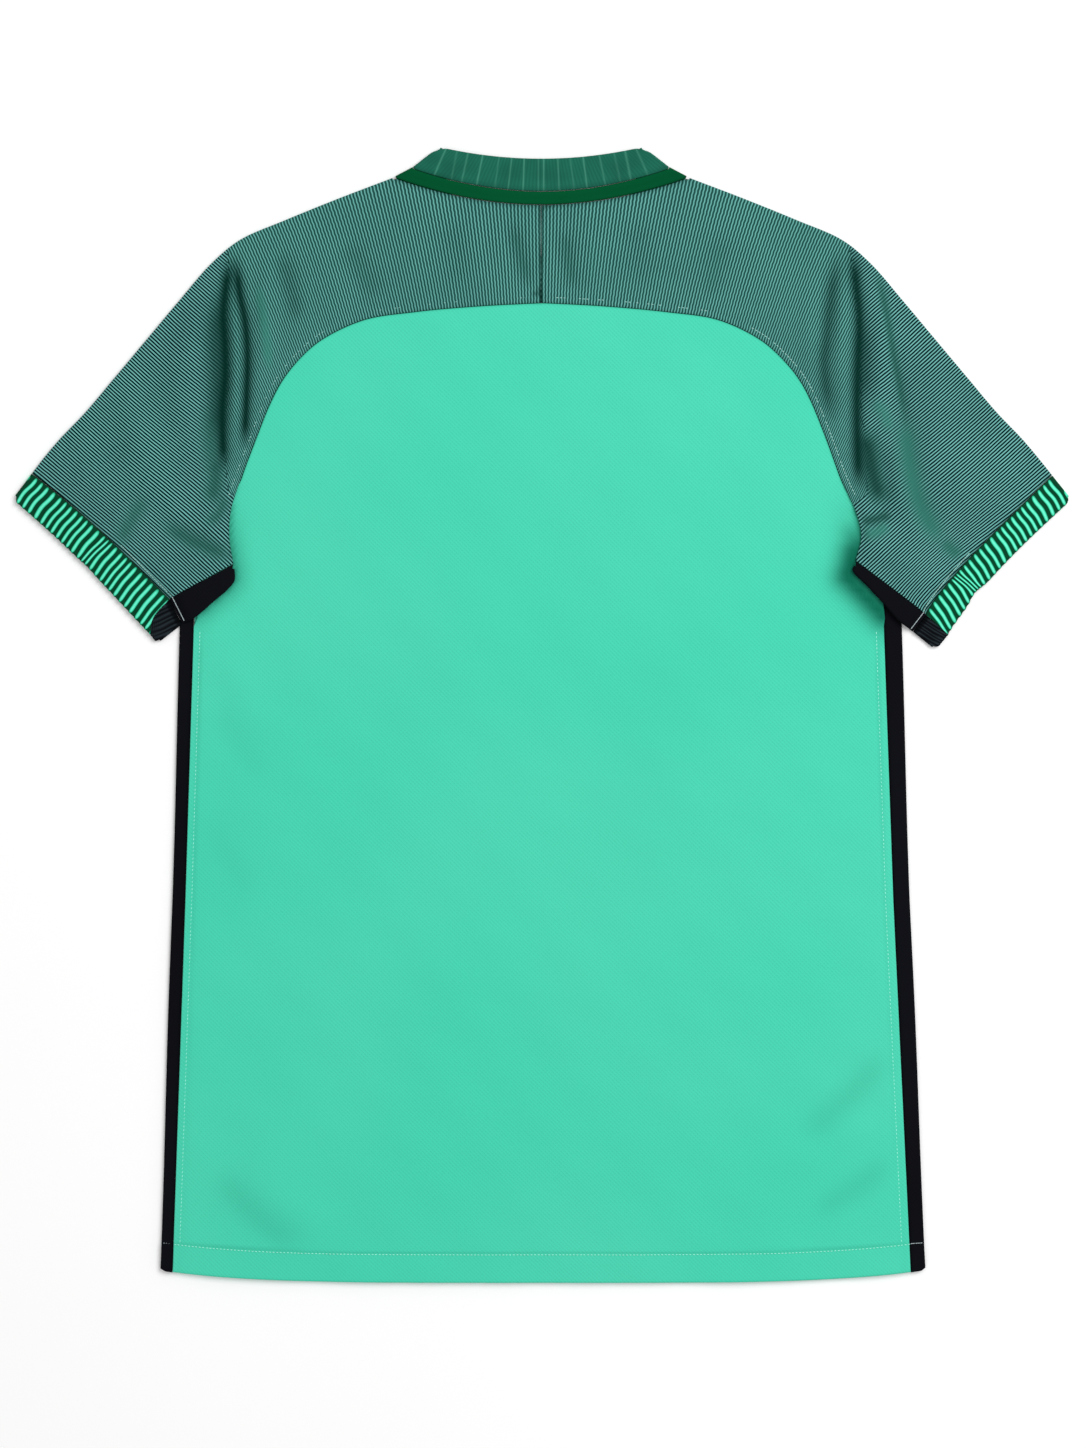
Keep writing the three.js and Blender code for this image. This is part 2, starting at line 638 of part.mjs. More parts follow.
/** Bends the first rows of the sleeve's front to the round of the front neckline. */
function neckBow(side, row, q) {
  const fade = Math.max(0, 1 - (row - NECK_ROWS) / 4);
  if (fade === 0 || row < NECK_ROWS) return new THREE.Vector2();
  const angle = q * FRONT_SEAM_ANGLE;
  const arc = neckFront(FRONT_NECKLINE, side.out * Math.cos(angle));
  const seamEnd = neckFront(FRONT_NECKLINE, side.out * Math.cos(FRONT_SEAM_ANGLE));
  const straight = mix(neckFront(FRONT_NECKLINE, side.out), seamEnd, q);
  return arc.sub(straight).multiplyScalar(fade * fade);
}

/** The black gusset: its back, rolled over the body, and the short return under the roll. */
function makeUnderarm(side) {
  const seam = sleeveBackSeam(side);
  const tipRow = SLEEVE_ROWS.filter((row) => row.seamU !== undefined).length + side.lobe.length - 2;
  const heel = onSide(side, ...side.heel.seam);
  const fold = curveThrough([...side.fold.map((point) => onSide(side, point.u, point.y)), heel]);
  const fromCuff = outwardNormal(heel, onSide(side, ...side.cuff.seam), onSide(side, ...side.cuff.edge));
  const rows = 10;
  const columns = 5;
  const grid = steps(rows).map((part) => {
    const shift = fromCuff.clone().multiplyScalar(SEAM_GAP * 1.5 * part ** 4);
    const seamPoint = seam(lerp(tipRow, SLEEVE_ROWS.length, part)).add(shift);
    const edge = fold(part).add(shift);
    const outward = outwardNormal(fold(Math.max(part - 0.02, 0)), fold(Math.min(part + 0.02, 1)), seamPoint);
    const centre = edge.clone().addScaledVector(outward, -EDGE_INSET);
    const start = mix(seamPoint, centre, SEAM_GAP / Math.max(seamPoint.distanceTo(centre), 1));
    const height = (point) => backHeight(point.x, point.y) + lobeRise(side, point.x, point.y);
    const back = steps(columns).map((q) => {
      const point = mix(start, centre, q);
      return at(point, height(point));
    });
    const foldTop = height(centre);
    const round = foldPoints(centre, outward, foldTop, foldTop - 2 * FOLD_RADIUS);
    const leg = Math.min(RETURN_LEG, 0.55 * seamPoint.distanceTo(centre));
    const below = steps(2).map((q) => {
      const point = centre.clone().addScaledVector(outward, -leg * q);
      return at(point, height(point) - 2 * FOLD_RADIUS);
    });
    return [...back, ...round, ...below];
  });
  return clothWall(grid);
}

/** A black side panel, bent round the side fold of the body. */
function makeSide(side) {
  const rows = BODY_LOW_ROWS + 1;
  const grid = steps(rows).map((part) => {
    const y = lerp(HEM_Y + HEM_RISE, SIDE_TOP_Y, part);
    const seamU = sideSeamU(side, y) + SEAM_GAP / 2;
    const centreU = bodyHalfWidth(side, y) - EDGE_INSET;
    const line = (u) => onSide(side, u, part === 0 ? hemY(onSide(side, u, y).x) : y);
    const outward = new THREE.Vector2(side.out, 0);
    const back = steps(2).map((q) => {
      const point = line(lerp(seamU, centreU, q));
      return at(point, q === 1 ? EDGE_HEIGHT : backHeight(point.x, point.y));
    });
    const below = steps(2).map((q) => at(line(lerp(centreU, seamU, q)), REST_HEIGHT));
    return [...back, ...foldPoints(line(centreU), outward, EDGE_HEIGHT, REST_HEIGHT), ...below];
  });
  return clothWall(grid);
}

/** A stretch of cuff between two lines across it: ribs above, a fold at its far end, plain below. */
function makeCuffPiece({ near, far, ribs, bow = 0, widthSteps = 2, belowSteps = 6 }) {
  const outward = outwardNormal(far.seam, far.edge, near.seam);
  const inset = {
    seam: far.seam.clone().addScaledVector(outward, -EDGE_INSET),
    edge: far.edge.clone().addScaledVector(outward, -EDGE_INSET),
  };
  const widths = steps(widthSteps);
  const acrossLine = (line, height) =>
    widths.map((q) => {
      const point = mix(line.seam, line.edge, q);
      return at(point, height(point));
    });
  const inward = near.seam.clone().sub(near.edge).normalize();
  const between = (t) => ({
    seam: mix(near.seam, inset.seam, t),
    edge: mix(near.edge, inset.edge, t).addScaledVector(inward, bow * Math.sin(t * Math.PI)),
  });
  const ribPoints = ribs * RIB_PROFILE.length;
  const above = steps(ribPoints).map((t) =>
    acrossLine(between(t), (point) => (t === 1 ? EDGE_HEIGHT : backHeight(point.x, point.y))),
  );
  const round = steps(FOLD_STEPS)
    .slice(1, -1)
    .map((part, step) =>
      widths.map((q) => foldPoints(mix(inset.seam, inset.edge, q), outward, EDGE_HEIGHT, REST_HEIGHT)[step]),
    );
  const below = steps(belowSteps).map((t) => acrossLine(between(1 - t), () => REST_HEIGHT));
  const raise = (i) => (i < ribPoints ? CUFF_RIB_HEIGHT * RIB_PROFILE[i % RIB_PROFILE.length] : 0);
  return clothWall([...above, ...round, ...below], { raise });
}

/** The cuff's cut lines, half a gap off the sleeve's seam. */
function cuffLine(side, seam, edge) {
  const clear = new THREE.Vector2(side.out, -1).normalize().multiplyScalar(SEAM_GAP / 2);
  return { seam: onSide(side, ...seam).add(clear), edge: onSide(side, ...edge) };
}

function makeCuff(side) {
  const along = onSide(side, ...side.cuff.crestSeam).sub(onSide(side, ...side.cuff.seam)).normalize();
  const near = cuffLine(side, side.cuff.seam, side.cuff.edge);
  near.seam.addScaledVector(along, SEAM_GAP / 2);
  near.edge.addScaledVector(along, SEAM_GAP / 2);
  const far = cuffLine(side, side.cuff.crestSeam, side.cuff.crestEdge);
  return makeCuffPiece({ near, far, ribs: CUFF_RIBS, bow: side.edgeBow });
}

function makeCuffUnderarm(side) {
  const along = onSide(side, ...side.cuff.crestSeam).sub(onSide(side, ...side.cuff.seam)).normalize();
  const near = cuffLine(side, side.cuff.seam, side.cuff.edge);
  near.seam.addScaledVector(along, -SEAM_GAP / 2);
  near.edge.addScaledVector(along, -SEAM_GAP / 2);
  const far = cuffLine(side, side.heel.seam, side.heel.edge);
  return makeCuffPiece({ near, far, ribs: UNDERARM_RIBS, belowSteps: 2 });
}

/** A neck line drawn in from its fold, so that the cloth bent round the fold ends on it. */
function foldedIn(line, inset) {
  const halfWidth = line.halfWidth - inset / NECK_FOLD_SLANT;
  return { ...line, halfWidth, foldY: neckBackY(line, halfWidth) };
}

/** A ring round the neck between two neck lines: back on top, a fold at each side, front below. */
function makeNeckRing({ free, seam, thickness, backSteps, frontSteps, widthSteps, raise, lift }) {
  const restHeight = thickness / 2;
  const inset = (NECK_FOLD_TOP - restHeight) / 2 + thickness / 2;
  const lines = [foldedIn(free, inset), foldedIn(seam, inset)];
  const widths = steps(widthSteps);
  const rowOf = (line, part, height) =>
    widths.map((q) => {
      const point = mix(line(lines[0], part), line(lines[1], part), q);
      return at(point, height(point, part));
    });
  const backTop = (point, part) => {
    const free = backHeight(point.x, point.y) + lift;
    return lerp(free, NECK_FOLD_TOP, Math.abs(part) ** NECK_FOLD_REACH);
  };
  const back = steps(backSteps).map((t) => rowOf(neckBack, 2 * t - 1, backTop));
  const front = steps(frontSteps).map((t) => rowOf(neckFront, Math.cos(t * Math.PI), () => restHeight));
  const turn = (out) => {
    const ends = lines.map((line) => neckBack(line, out));
    const outward = outwardNormal(ends[0], ends[1], neckBack(lines[1], 0));
    return widths.map((q) => foldPoints(mix(ends[0], ends[1], q), outward, NECK_FOLD_TOP, restHeight));
  };
  const turns = { left: turn(-1), right: turn(1) };
  const roundRows = steps(FOLD_STEPS - 2).map((_, step) => step);
  const grid = [
    ...back,
    ...roundRows.map((step) => turns.right.map((points) => points[step])),
    ...front,
    ...roundRows.reverse().map((step) => turns.left.map((points) => points[step])),
  ];
  return clothWall(grid, { thickness, raise: (i) => (i <= backSteps ? raise(i) : 0), loop: true });
}

function makeCollar() {
  const clear = { ...BAND_SEAM, backY: BAND_SEAM.backY + SEAM_GAP, frontY: BAND_SEAM.frontY + SEAM_GAP };
  clear.halfWidth -= SEAM_GAP;
  return makeNeckRing({
    free: BAND_TOP,
    seam: clear,
    thickness: RIB_CLOTH,
    backSteps: COLLAR_RIBS * 2,
    frontSteps: 30,
    widthSteps: 2,
    raise: (i) => (i % 2) * COLLAR_RIB_HEIGHT,
    lift: 0.35,
  });
}

function makeNeckTape() {
  return makeNeckRing({
    free: BAND_SEAM,
    seam: TAPE_SEAM,
    thickness: CLOTH,
    backSteps: 30,
    frontSteps: 36,
    widthSteps: 1,
    raise: () => 0,
    lift: 0,
  });
}

// The jersey

const jersey = new THREE.Group();

function addPiece(name, geometry, colour) {
  const material = new THREE.MeshStandardMaterial({ color: colour, roughness: 0.85, metalness: 0 });
  const mesh = new THREE.Mesh(geometry, material);
  mesh.name = name;
  jersey.add(mesh);
}

addPiece("back_body", makeBackBody(), COLOURS.mint);
addPiece("front_body", makeFrontBody(), COLOURS.mint);
addPiece("collar", makeCollar(), COLOURS.collar);
addPiece("neck_tape", makeNeckTape(), COLOURS.tape);
for (const [name, side] of Object.entries(SIDES)) {
  addPiece(`sleeve_${name}`, makeSleeve(side), COLOURS.pinstripe);
  addPiece(`underarm_${name}`, makeUnderarm(side), COLOURS.black);
  addPiece(`side_${name}`, makeSide(side), COLOURS.black);
  addPiece(`cuff_${name}`, makeCuff(side), COLOURS.cuff);
  addPiece(`cuff_underarm_${name}`, makeCuffUnderarm(side), COLOURS.black);
}

export default jersey;
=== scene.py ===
"""A football jersey lying flat on its front: cloth, ribs, seams, stitches, finishes and light.

Plan lengths are millimetres and turn into metres when a mesh is made. +X is the photograph's right, +Y points
to the neck and +Z up. u is a distance from the centre back to either side.
"""

from __future__ import annotations

import logging
import math
from dataclasses import dataclass, field
from enum import Enum
from typing import Callable

import bpy
import numpy as np
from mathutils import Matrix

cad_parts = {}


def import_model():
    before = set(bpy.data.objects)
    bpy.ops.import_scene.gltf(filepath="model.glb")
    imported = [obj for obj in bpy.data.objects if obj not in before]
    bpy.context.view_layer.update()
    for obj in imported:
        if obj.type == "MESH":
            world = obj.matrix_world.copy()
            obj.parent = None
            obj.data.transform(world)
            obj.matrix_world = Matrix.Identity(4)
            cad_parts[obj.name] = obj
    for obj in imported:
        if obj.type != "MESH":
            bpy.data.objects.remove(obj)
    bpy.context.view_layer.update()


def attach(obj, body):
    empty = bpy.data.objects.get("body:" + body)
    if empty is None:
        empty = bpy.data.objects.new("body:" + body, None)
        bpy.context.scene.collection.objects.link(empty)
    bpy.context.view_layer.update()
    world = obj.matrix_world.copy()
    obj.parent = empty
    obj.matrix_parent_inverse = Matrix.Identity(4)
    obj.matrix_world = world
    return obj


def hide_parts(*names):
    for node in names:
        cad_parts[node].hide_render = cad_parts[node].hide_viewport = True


Array = np.ndarray
Surface = Callable[[Array], Array]
LOG = logging.getLogger("jersey")

# Cloth and seams
MM = 0.001
CLOTH = 1.2
RIB_CLOTH = 1.8
SEAM_GAP = 0.3
RIM_INSET = 0.22
REST_HEIGHT = CLOTH / 2
FOLD_RADIUS = 0.9
EDGE_HEIGHT = REST_HEIGHT + 2 * FOLD_RADIUS
EDGE_INSET = FOLD_RADIUS + CLOTH / 2
FOLD_STEPS = 8
MITRE_LIMIT = 1.4
STITCH_PULL = 0.3
STITCH_GROOVE = 1.1

# The laid garment
AXIS_X = -1.0
LOFT = 0.9
EDGE_FADE = 24.0
LOWEST_BACK = 2.25
HEM_Y = -386.6
HEM_RISE = 7.5
HEM_HALF_WIDTH = 253.0
HEM_ROUNDNESS = 4.3
HEM_DEPTH = 20.0
HEM_FOLD = 0.45
HEM_TURN_END = (HEM_DEPTH - 0.4, HEM_DEPTH + 1.6)
ARMPIT_U = 234.5
ARMPIT_Y = 60.0
SIDE_TOP_Y = 57.0
SIDE_ROW_END = (40.0, 60.0)
WAIST_Y = -126.0

# The sleeve's overlap on the body beside the armpit
LOBE_RISE = 3.5
LOBE_FULL_Y = 148.0
LOBE_NONE_Y = 172.0
LOBE_ROLL = 6.0
RETURN_LEG = 9.0
LAP_BULGE = 6.5

# The sleeve's rows, from the centre back seam to the cuff
NECK_ROWS = 3
LAST_ROW = 14
LAPPED_ROW = 9
GUSSET_ROW = 12
YOKE_CORNER_ROW = 5
NECK_U = (0.0, 36.0, 70.0, 101.0)
CREST = (
    (101, 365), (136.7, 351.4), (174, 336.3), (205, 322.7), (224.5, 306.5), (245.8, 281.9),
    (268.5, 254.8), (291, 228), (310, 205.5), (327.4, 187.3), (337.6, 175.3),
)
BACK_SEAM = (
    (0, 279.8), (45, 277.4), (86, 273.6), (120, 268.3), (149, 254.7), (164.5, 241.1), (175.5, 227.5),
    (183, 213.9), (194, 186.7), (204, 159.5),
)
FRONT_SEAM = (
    (64.9, 300), (84, 273), (104, 249), (124, 226), (142, 205), (163, 179), (182, 153), (199, 128),
    (214, 104), (229, 79), (241, 79),
)
FRONT_SEAM_ANGLE = math.radians(50)

# Pinstripes
STRIPE_PITCH = 1.95
YOKE_PITCH = 2.1
SLEEVE_STRIPE_ANGLE = math.radians(41)
YOKE_FAN = math.tan(math.radians(24)) / 190
YOKE_ZIGZAG_PITCH = 3.7
YOKE_ZIGZAG = 0.11
YOKE_UPRIGHT_Y = 292.0


def lerp(a: Array | float, b: Array | float, t: Array | float) -> Array | float:
    """Point between a and b at share t."""
    return a + (b - a) * t


def bell(away: Array | float, width: float) -> Array:
    """1 where away is 0, fading on both sides over the width."""
    return np.exp(-((away / width) ** 2))


def smooth(low: float, high: float, value: Array) -> Array:
    """Soft step from nought at low to one at high."""
    t = np.clip((value - low) / (high - low), 0, 1)
    return t * t * (3 - 2 * t)


def unit(vectors: Array) -> Array:
    """The vectors at length one."""
    return vectors / np.maximum(np.linalg.norm(vectors, axis=-1, keepdims=True), 1e-9)


def plan(x: Array | float, y: Array | float) -> Array:
    """Plan points from two coordinates."""
    return np.stack(np.broadcast_arrays(np.asarray(x, float), np.asarray(y, float)), -1)


def lift(points: Array, height: Array | float) -> Array:
    """Plan points with a height."""
    tall = np.broadcast_to(np.asarray(height, float), points.shape[:-1])
    return np.concatenate([points, tall[..., None]], -1)


def nearest(points: Array, chain: Array) -> tuple[Array, Array]:
    """Distance to a chain of plan points, and where along it.

    Args:
        points: Plan points, with x and y last.
        chain: The chain's corners in order.

    Returns:
        The distance, and the share of the chain's length at its nearest point.
    """
    best = np.full(points.shape[:-1], np.inf)
    share = np.zeros(points.shape[:-1])
    lengths = np.linalg.norm(np.diff(chain, axis=0), axis=1)
    done = 0.0
    for start, end, length in zip(chain, chain[1:], lengths):
        step = end - start
        along = np.clip(((points - start) @ step) / max(length, 1e-9) ** 2, 0, 1)
        away = np.linalg.norm(points - start - along[..., None] * step, axis=-1)
        share = np.where(away < best, (done + along * length) / lengths.sum(), share)
        best = np.minimum(best, away)
        done += length
    return best, share


@dataclass(frozen=True)
class Curve:
    """A smooth plan curve through points, with even steps of its share from point to point."""

    points: Array

    def at(self, part: Array | float) -> Array:
        """The curve's points.

        Args:
            part: Share of the way along, from 0 to 1.

        Returns:
            Plan points of the same shape as part.
        """
        given = np.asarray(self.points, float)
        last = len(given) - 1
        place = np.clip(np.asarray(part, float), 0, 1) * last
        span = np.minimum(place.astype(int), last - 1)
        weight = (place - span)[..., None]
        padded = np.concatenate([[2 * given[0] - given[1]], given, [2 * given[-1] - given[-2]]])
        p0, p1, p2, p3 = (padded[span + n] for n in range(4))
        dt0, dt1, dt2 = (
            np.maximum(np.linalg.norm(b - a, axis=-1, keepdims=True) ** 0.5, 1e-6)
            for a, b in ((p0, p1), (p1, p2), (p2, p3))
        )
        t1 = ((p1 - p0) / dt0 - (p2 - p0) / (dt0 + dt1) + (p2 - p1) / dt1) * dt1
        t2 = ((p2 - p1) / dt1 - (p3 - p1) / (dt1 + dt2) + (p3 - p2) / dt2) * dt1
        squared = -3 * p1 + 3 * p2 - 2 * t1 - t2
        cubed = 2 * p1 - 2 * p2 + t1 + t2
        return p1 + t1 * weight + squared * weight**2 + cubed * weight**3


@dataclass(frozen=True)
class NeckLine:
    """A line round the neck: a shallow curve at the back, half an ellipse at the front."""

    half_width: float
    fold_y: float
    back_y: float
    front_y: float

    def back_height(self, u: Array | float) -> Array:
        """Height up the plan of the back line at u."""
        return self.back_y + (self.fold_y - self.back_y) * (np.asarray(u) / self.half_width) ** 2

    def back(self, part: Array | float) -> Array:
        """Points of the back line, from -1 at the left fold to 1 at the right."""
        u = self.half_width * np.asarray(part, float)
        return plan(AXIS_X + u, self.back_height(u))

    def front(self, part: Array | float) -> Array:
        """Points of the front line, from -1 at the left fold to 1 at the right.

        Args:
            part: Place along the line.

        Returns:
            Plan points.
        """
        part = np.asarray(part, float)
        drop = (self.fold_y - self.front_y) * np.sqrt(np.maximum(1 - part**2, 0))
        return plan(AXIS_X + self.half_width * part, self.fold_y - drop)

    def drawn_in(self, inset: float) -> NeckLine:
        """The line moved in from its fold, to leave room for the bend."""
        half_width = self.half_width - inset
        return NeckLine(half_width, float(self.back_height(half_width)), self.back_y, self.front_y)


BAND_TOP = NeckLine(69.8, 386, 378, 311.8)
BAND_SEAM = NeckLine(88.8, 371.6, 355.6, 289.4)
TAPE_SEAM = NeckLine(100.6, 365.4, 346.7, 280.5)
FRONT_NECKLINE = NeckLine(101.1, 365.4, 346.7, 280)
NECK_FOLD_TOP = 3.0
NECK_FOLD_SLANT = 0.78
NECK_FOLD_REACH = 6


@dataclass(frozen=True)
class Side:
    """The measured plan of one side of the jersey; u from the centre back, y up the plan."""

    name: str
    out: int
    hem_half_width: float
    chest_half_width: float
    stripe_top: float
    stripe_hem: float
    lobe: tuple[tuple[float, float], ...]
    fold: tuple[tuple[float, float], ...]
    cuff_crest_seam: tuple[float, float]
    cuff_crest_edge: tuple[float, float]
    cuff_seam: tuple[float, float]
    cuff_edge: tuple[float, float]
    heel_seam: tuple[float, float]
    heel_edge: tuple[float, float]
    edge_bow: float
    seam_bow: float
    bow_turn: float
    rib_lean: float
    end_bulge: float
    tuck_y: float
    bunch_pinch: float
    stripe_turn: tuple[tuple[float, float], ...]
    body_shade: float
    shade_reach: float
    shade_shift: tuple[float, float]
    bunch_at: float
    bunch: float
    waist_half_width: float = 250.9

    def points(self, u: Array | float, y: Array | float) -> Array:
        """Plan points at u and y on this side."""
        return plan(AXIS_X + self.out * np.asarray(u, float), y)

    def chain(self, pairs: tuple[tuple[float, float], ...]) -> Array:
        """Plan points from pairs of u and y."""
        table = np.array(pairs, float)
        return self.points(table[:, 0], table[:, 1])

    def reach(self, points: Array) -> Array:
        """u of plan points on this side."""
        return (points[..., 0] - AXIS_X) * self.out

    def half_width(self, y: Array) -> Array:
        """Half width of the body at height y.

        Args:
            y: Heights in the plan.

        Returns:
            The half width at each.
        """
        y = np.asarray(y, float)
        above = lerp(self.waist_half_width, self.chest_half_width, (y - WAIST_Y) / (SIDE_TOP_Y - WAIST_Y))
        below = lerp(self.hem_half_width, self.waist_half_width, (y - HEM_Y) / (WAIST_Y - HEM_Y))
        return np.where(y > WAIST_Y, above, below)

    def seam_u(self, y: Array) -> Array:
        """Distance of the side seam from the centre back."""
        share = (SIDE_TOP_Y - np.asarray(y, float)) / (SIDE_TOP_Y - HEM_Y)
        return self.half_width(y) - lerp(self.stripe_top, self.stripe_hem, share)

    def crest(self) -> Curve:
        """The folded upper edge of the sleeve."""
        return Curve(self.chain(CREST + (self.cuff_crest_seam,)))

    def top(self, row: Array) -> Array:
        """Upper edge of the sleeve's back: below the neck tape, then along the crest.

        Args:
            row: Rows from the centre back seam.

        Returns:
            Plan points.
        """
        row = np.asarray(row, float)
        u = np.interp(row, range(NECK_ROWS + 1), NECK_U)
        neck = self.points(u, TAPE_SEAM.back_height(u) - SEAM_GAP)
        crest = self.crest().at((np.maximum(row, NECK_ROWS) - NECK_ROWS) / (LAST_ROW - NECK_ROWS))
        return np.where((row >= NECK_ROWS)[..., None], crest, neck)

    def back_seam(self, row: Array) -> Array:
        """Yoke seam and raglan seam of the back, then the gusset's seam down to the cuff.

        Args:
            row: Rows from the centre back seam.

        Returns:
            Plan points.
        """
        row = np.asarray(row, float)
        curve = Curve(self.chain(BACK_SEAM + self.lobe[:-1]))
        curved = curve.at(np.minimum(row, GUSSET_ROW) / GUSSET_ROW)
        share = (np.maximum(row, GUSSET_ROW) - GUSSET_ROW) / (LAST_ROW - GUSSET_ROW)
        straight = lerp(curve.at(1.0), self.points(*self.cuff_seam), share[..., None])
        return np.where((row <= GUSSET_ROW)[..., None], curved, straight)

    def front_seam(self, row: Array) -> Array:
        """Raglan seam of the front, straight from row to row.

        Args:
            row: Rows of the sleeve, counted from the neck.

        Returns:
            Plan points of the seam.
        """
        table = self.chain(FRONT_SEAM + (self.cuff_seam,))
        rows = np.arange(NECK_ROWS, LAST_ROW + 1)
        return plan(np.interp(row, rows, table[:, 0]), np.interp(row, rows, table[:, 1]))

    def lap_line(self) -> Array:
        """Edge of the sleeve and gusset where they lie over the body."""
        return self.chain(self.lobe[:-1] + self.fold)

    def bowed(self, points: Array) -> Array:
        """Draws plan points near the cuff's seam in to its bowed line.

        Args:
            points: Plan points.

        Returns:
            The points, drawn in where they are near the seam.
        """
        start, end, edge = self.chain((self.cuff_seam, self.cuff_crest_seam, self.cuff_edge))
        run = end - start
        share = np.clip(((points - start) @ run) / (run @ run), 0, 1)
        away, _ = nearest(points, np.stack([start, end]))
        bow = self.seam_bow * np.sin(math.pi * share**self.bow_turn) * bell(away, 26)
        return points + unit(start - edge) * bow[..., None]

    def outline(self) -> Array:
        """Outline of this half of the laid garment.

        Returns:
            Plan points from the neck round to the hem.
        """
        low = ((float(self.half_width(SIDE_TOP_Y)), SIDE_TOP_Y), (self.waist_half_width, WAIST_Y))
        hem = ((self.hem_half_width, HEM_Y + HEM_RISE),)
        parts = [
            BAND_TOP.back(0.0)[None],
            BAND_TOP.back(self.out)[None],
            BAND_SEAM.back(self.out)[None],
            self.crest().at(np.linspace(0, 1, 25)),
            self.chain((self.cuff_crest_edge, self.heel_edge, self.heel_seam) + low + hem),
        ]
        return np.concatenate(parts)

    def lobe_rise(self, points: Array) -> Array:
        """How far the sleeve and gusset stand above the body beside the armpit.

        Args:
            points: Plan points.

        Returns:
            Rise in millimetres.
        """
        seam, _ = nearest(points, self.chain((self.cuff_crest_seam, self.cuff_seam, self.heel_seam)))
        lap, _ = nearest(points, self.lap_line())
        high = 1 - smooth(LOBE_FULL_Y, LOBE_NONE_Y, points[..., 1])
        return LOBE_RISE * high * smooth(0, 9, seam) * (1 - smooth(30, 75, lap))


SIDES = (
    Side(
        name="left", out=-1, hem_half_width=259.1, chest_half_width=245.8, stripe_top=9.5, stripe_hem=8.2,
        lobe=((210.5, 138), (211.5, 120), (208.8, 102.3), (230.5, 90.4)),
        fold=((208, 99), (208.1, 90.8), (213, 84.7), (224, 75.2), (235.6, 65.4)),
        cuff_crest_seam=(346.4, 163.8), cuff_crest_edge=(359.6, 146.4),
        cuff_seam=(252.6, 78.5), cuff_edge=(265.6, 54.2),
        heel_seam=(244.1, 61.5), heel_edge=(261.2, 48.2), edge_bow=1.2, seam_bow=2.7, bow_turn=1.15,
        rib_lean=0.0, end_bulge=3.5, tuck_y=69.0, bunch_pinch=0.5,
        stripe_turn=((326, 206), (313.8, 212.9), (264.9, 214.2), (231.5, 212.2), (186.7, 215.9),
                     (152, 212.2), (138, 200)),
        body_shade=0.34, shade_reach=8.0, shade_shift=(1, 0), bunch_at=0.47, bunch=0.8,
    ),
    Side(
        name="right", out=1, hem_half_width=261.8, chest_half_width=245.5, stripe_top=12.2, stripe_hem=10,
        lobe=((213.5, 138), (217.3, 121), (213.5, 104.4), (237.5, 86.3)),
        fold=((212.3, 101), (211.5, 97.6), (221, 87.5), (232.6, 75.1), (243, 63.5)),
        cuff_crest_seam=(347.8, 162.6), cuff_crest_edge=(361, 146.2),
        cuff_seam=(261.8, 67.8), cuff_edge=(276.8, 54.1),
        heel_seam=(253, 56.3), heel_edge=(268.4, 43.9), edge_bow=2.0, seam_bow=4.0, bow_turn=0.6,
        rib_lean=0.75, end_bulge=0.0, tuck_y=77.0, bunch_pinch=1.7,
        stripe_turn=((326, 208), (307.7, 211.5), (247.9, 216.9), (205.7, 217.6), (173.1, 222.3),
                     (150, 221), (138, 206)),
        body_shade=0.97, shade_reach=11.0, shade_shift=(-3.5, -4), bunch_at=0.27, bunch=1.6,
    ),
)


@dataclass(frozen=True)
class Crease:
    """A soft ridge (rise above nought) or trough, from its path's start to its end."""

    path: tuple[tuple[float, float], ...]
    spread: float
    rise: float
    # dark is painted shade in the crease
    dark: float = 0.0
    fade: float = 0.3
    # even is a painted glow that fades the lines to one even lit tone
    even: float = 0.0

    def strength(self, points: Array) -> Array:
        """Share of the crease's rise at each plan point.

        Args:
            points: Plan points.

        Returns:
            The share at each, from 0 to 1.
        """
        chain = Curve(np.array(self.path, float)).at(np.linspace(0, 1, 5 * len(self.path)))
        away, share = nearest(points, chain)
        ends = smooth(0, self.fade, share) * (1 - smooth(1 - self.fade, 1, share))
        return ends * bell(away, self.spread)


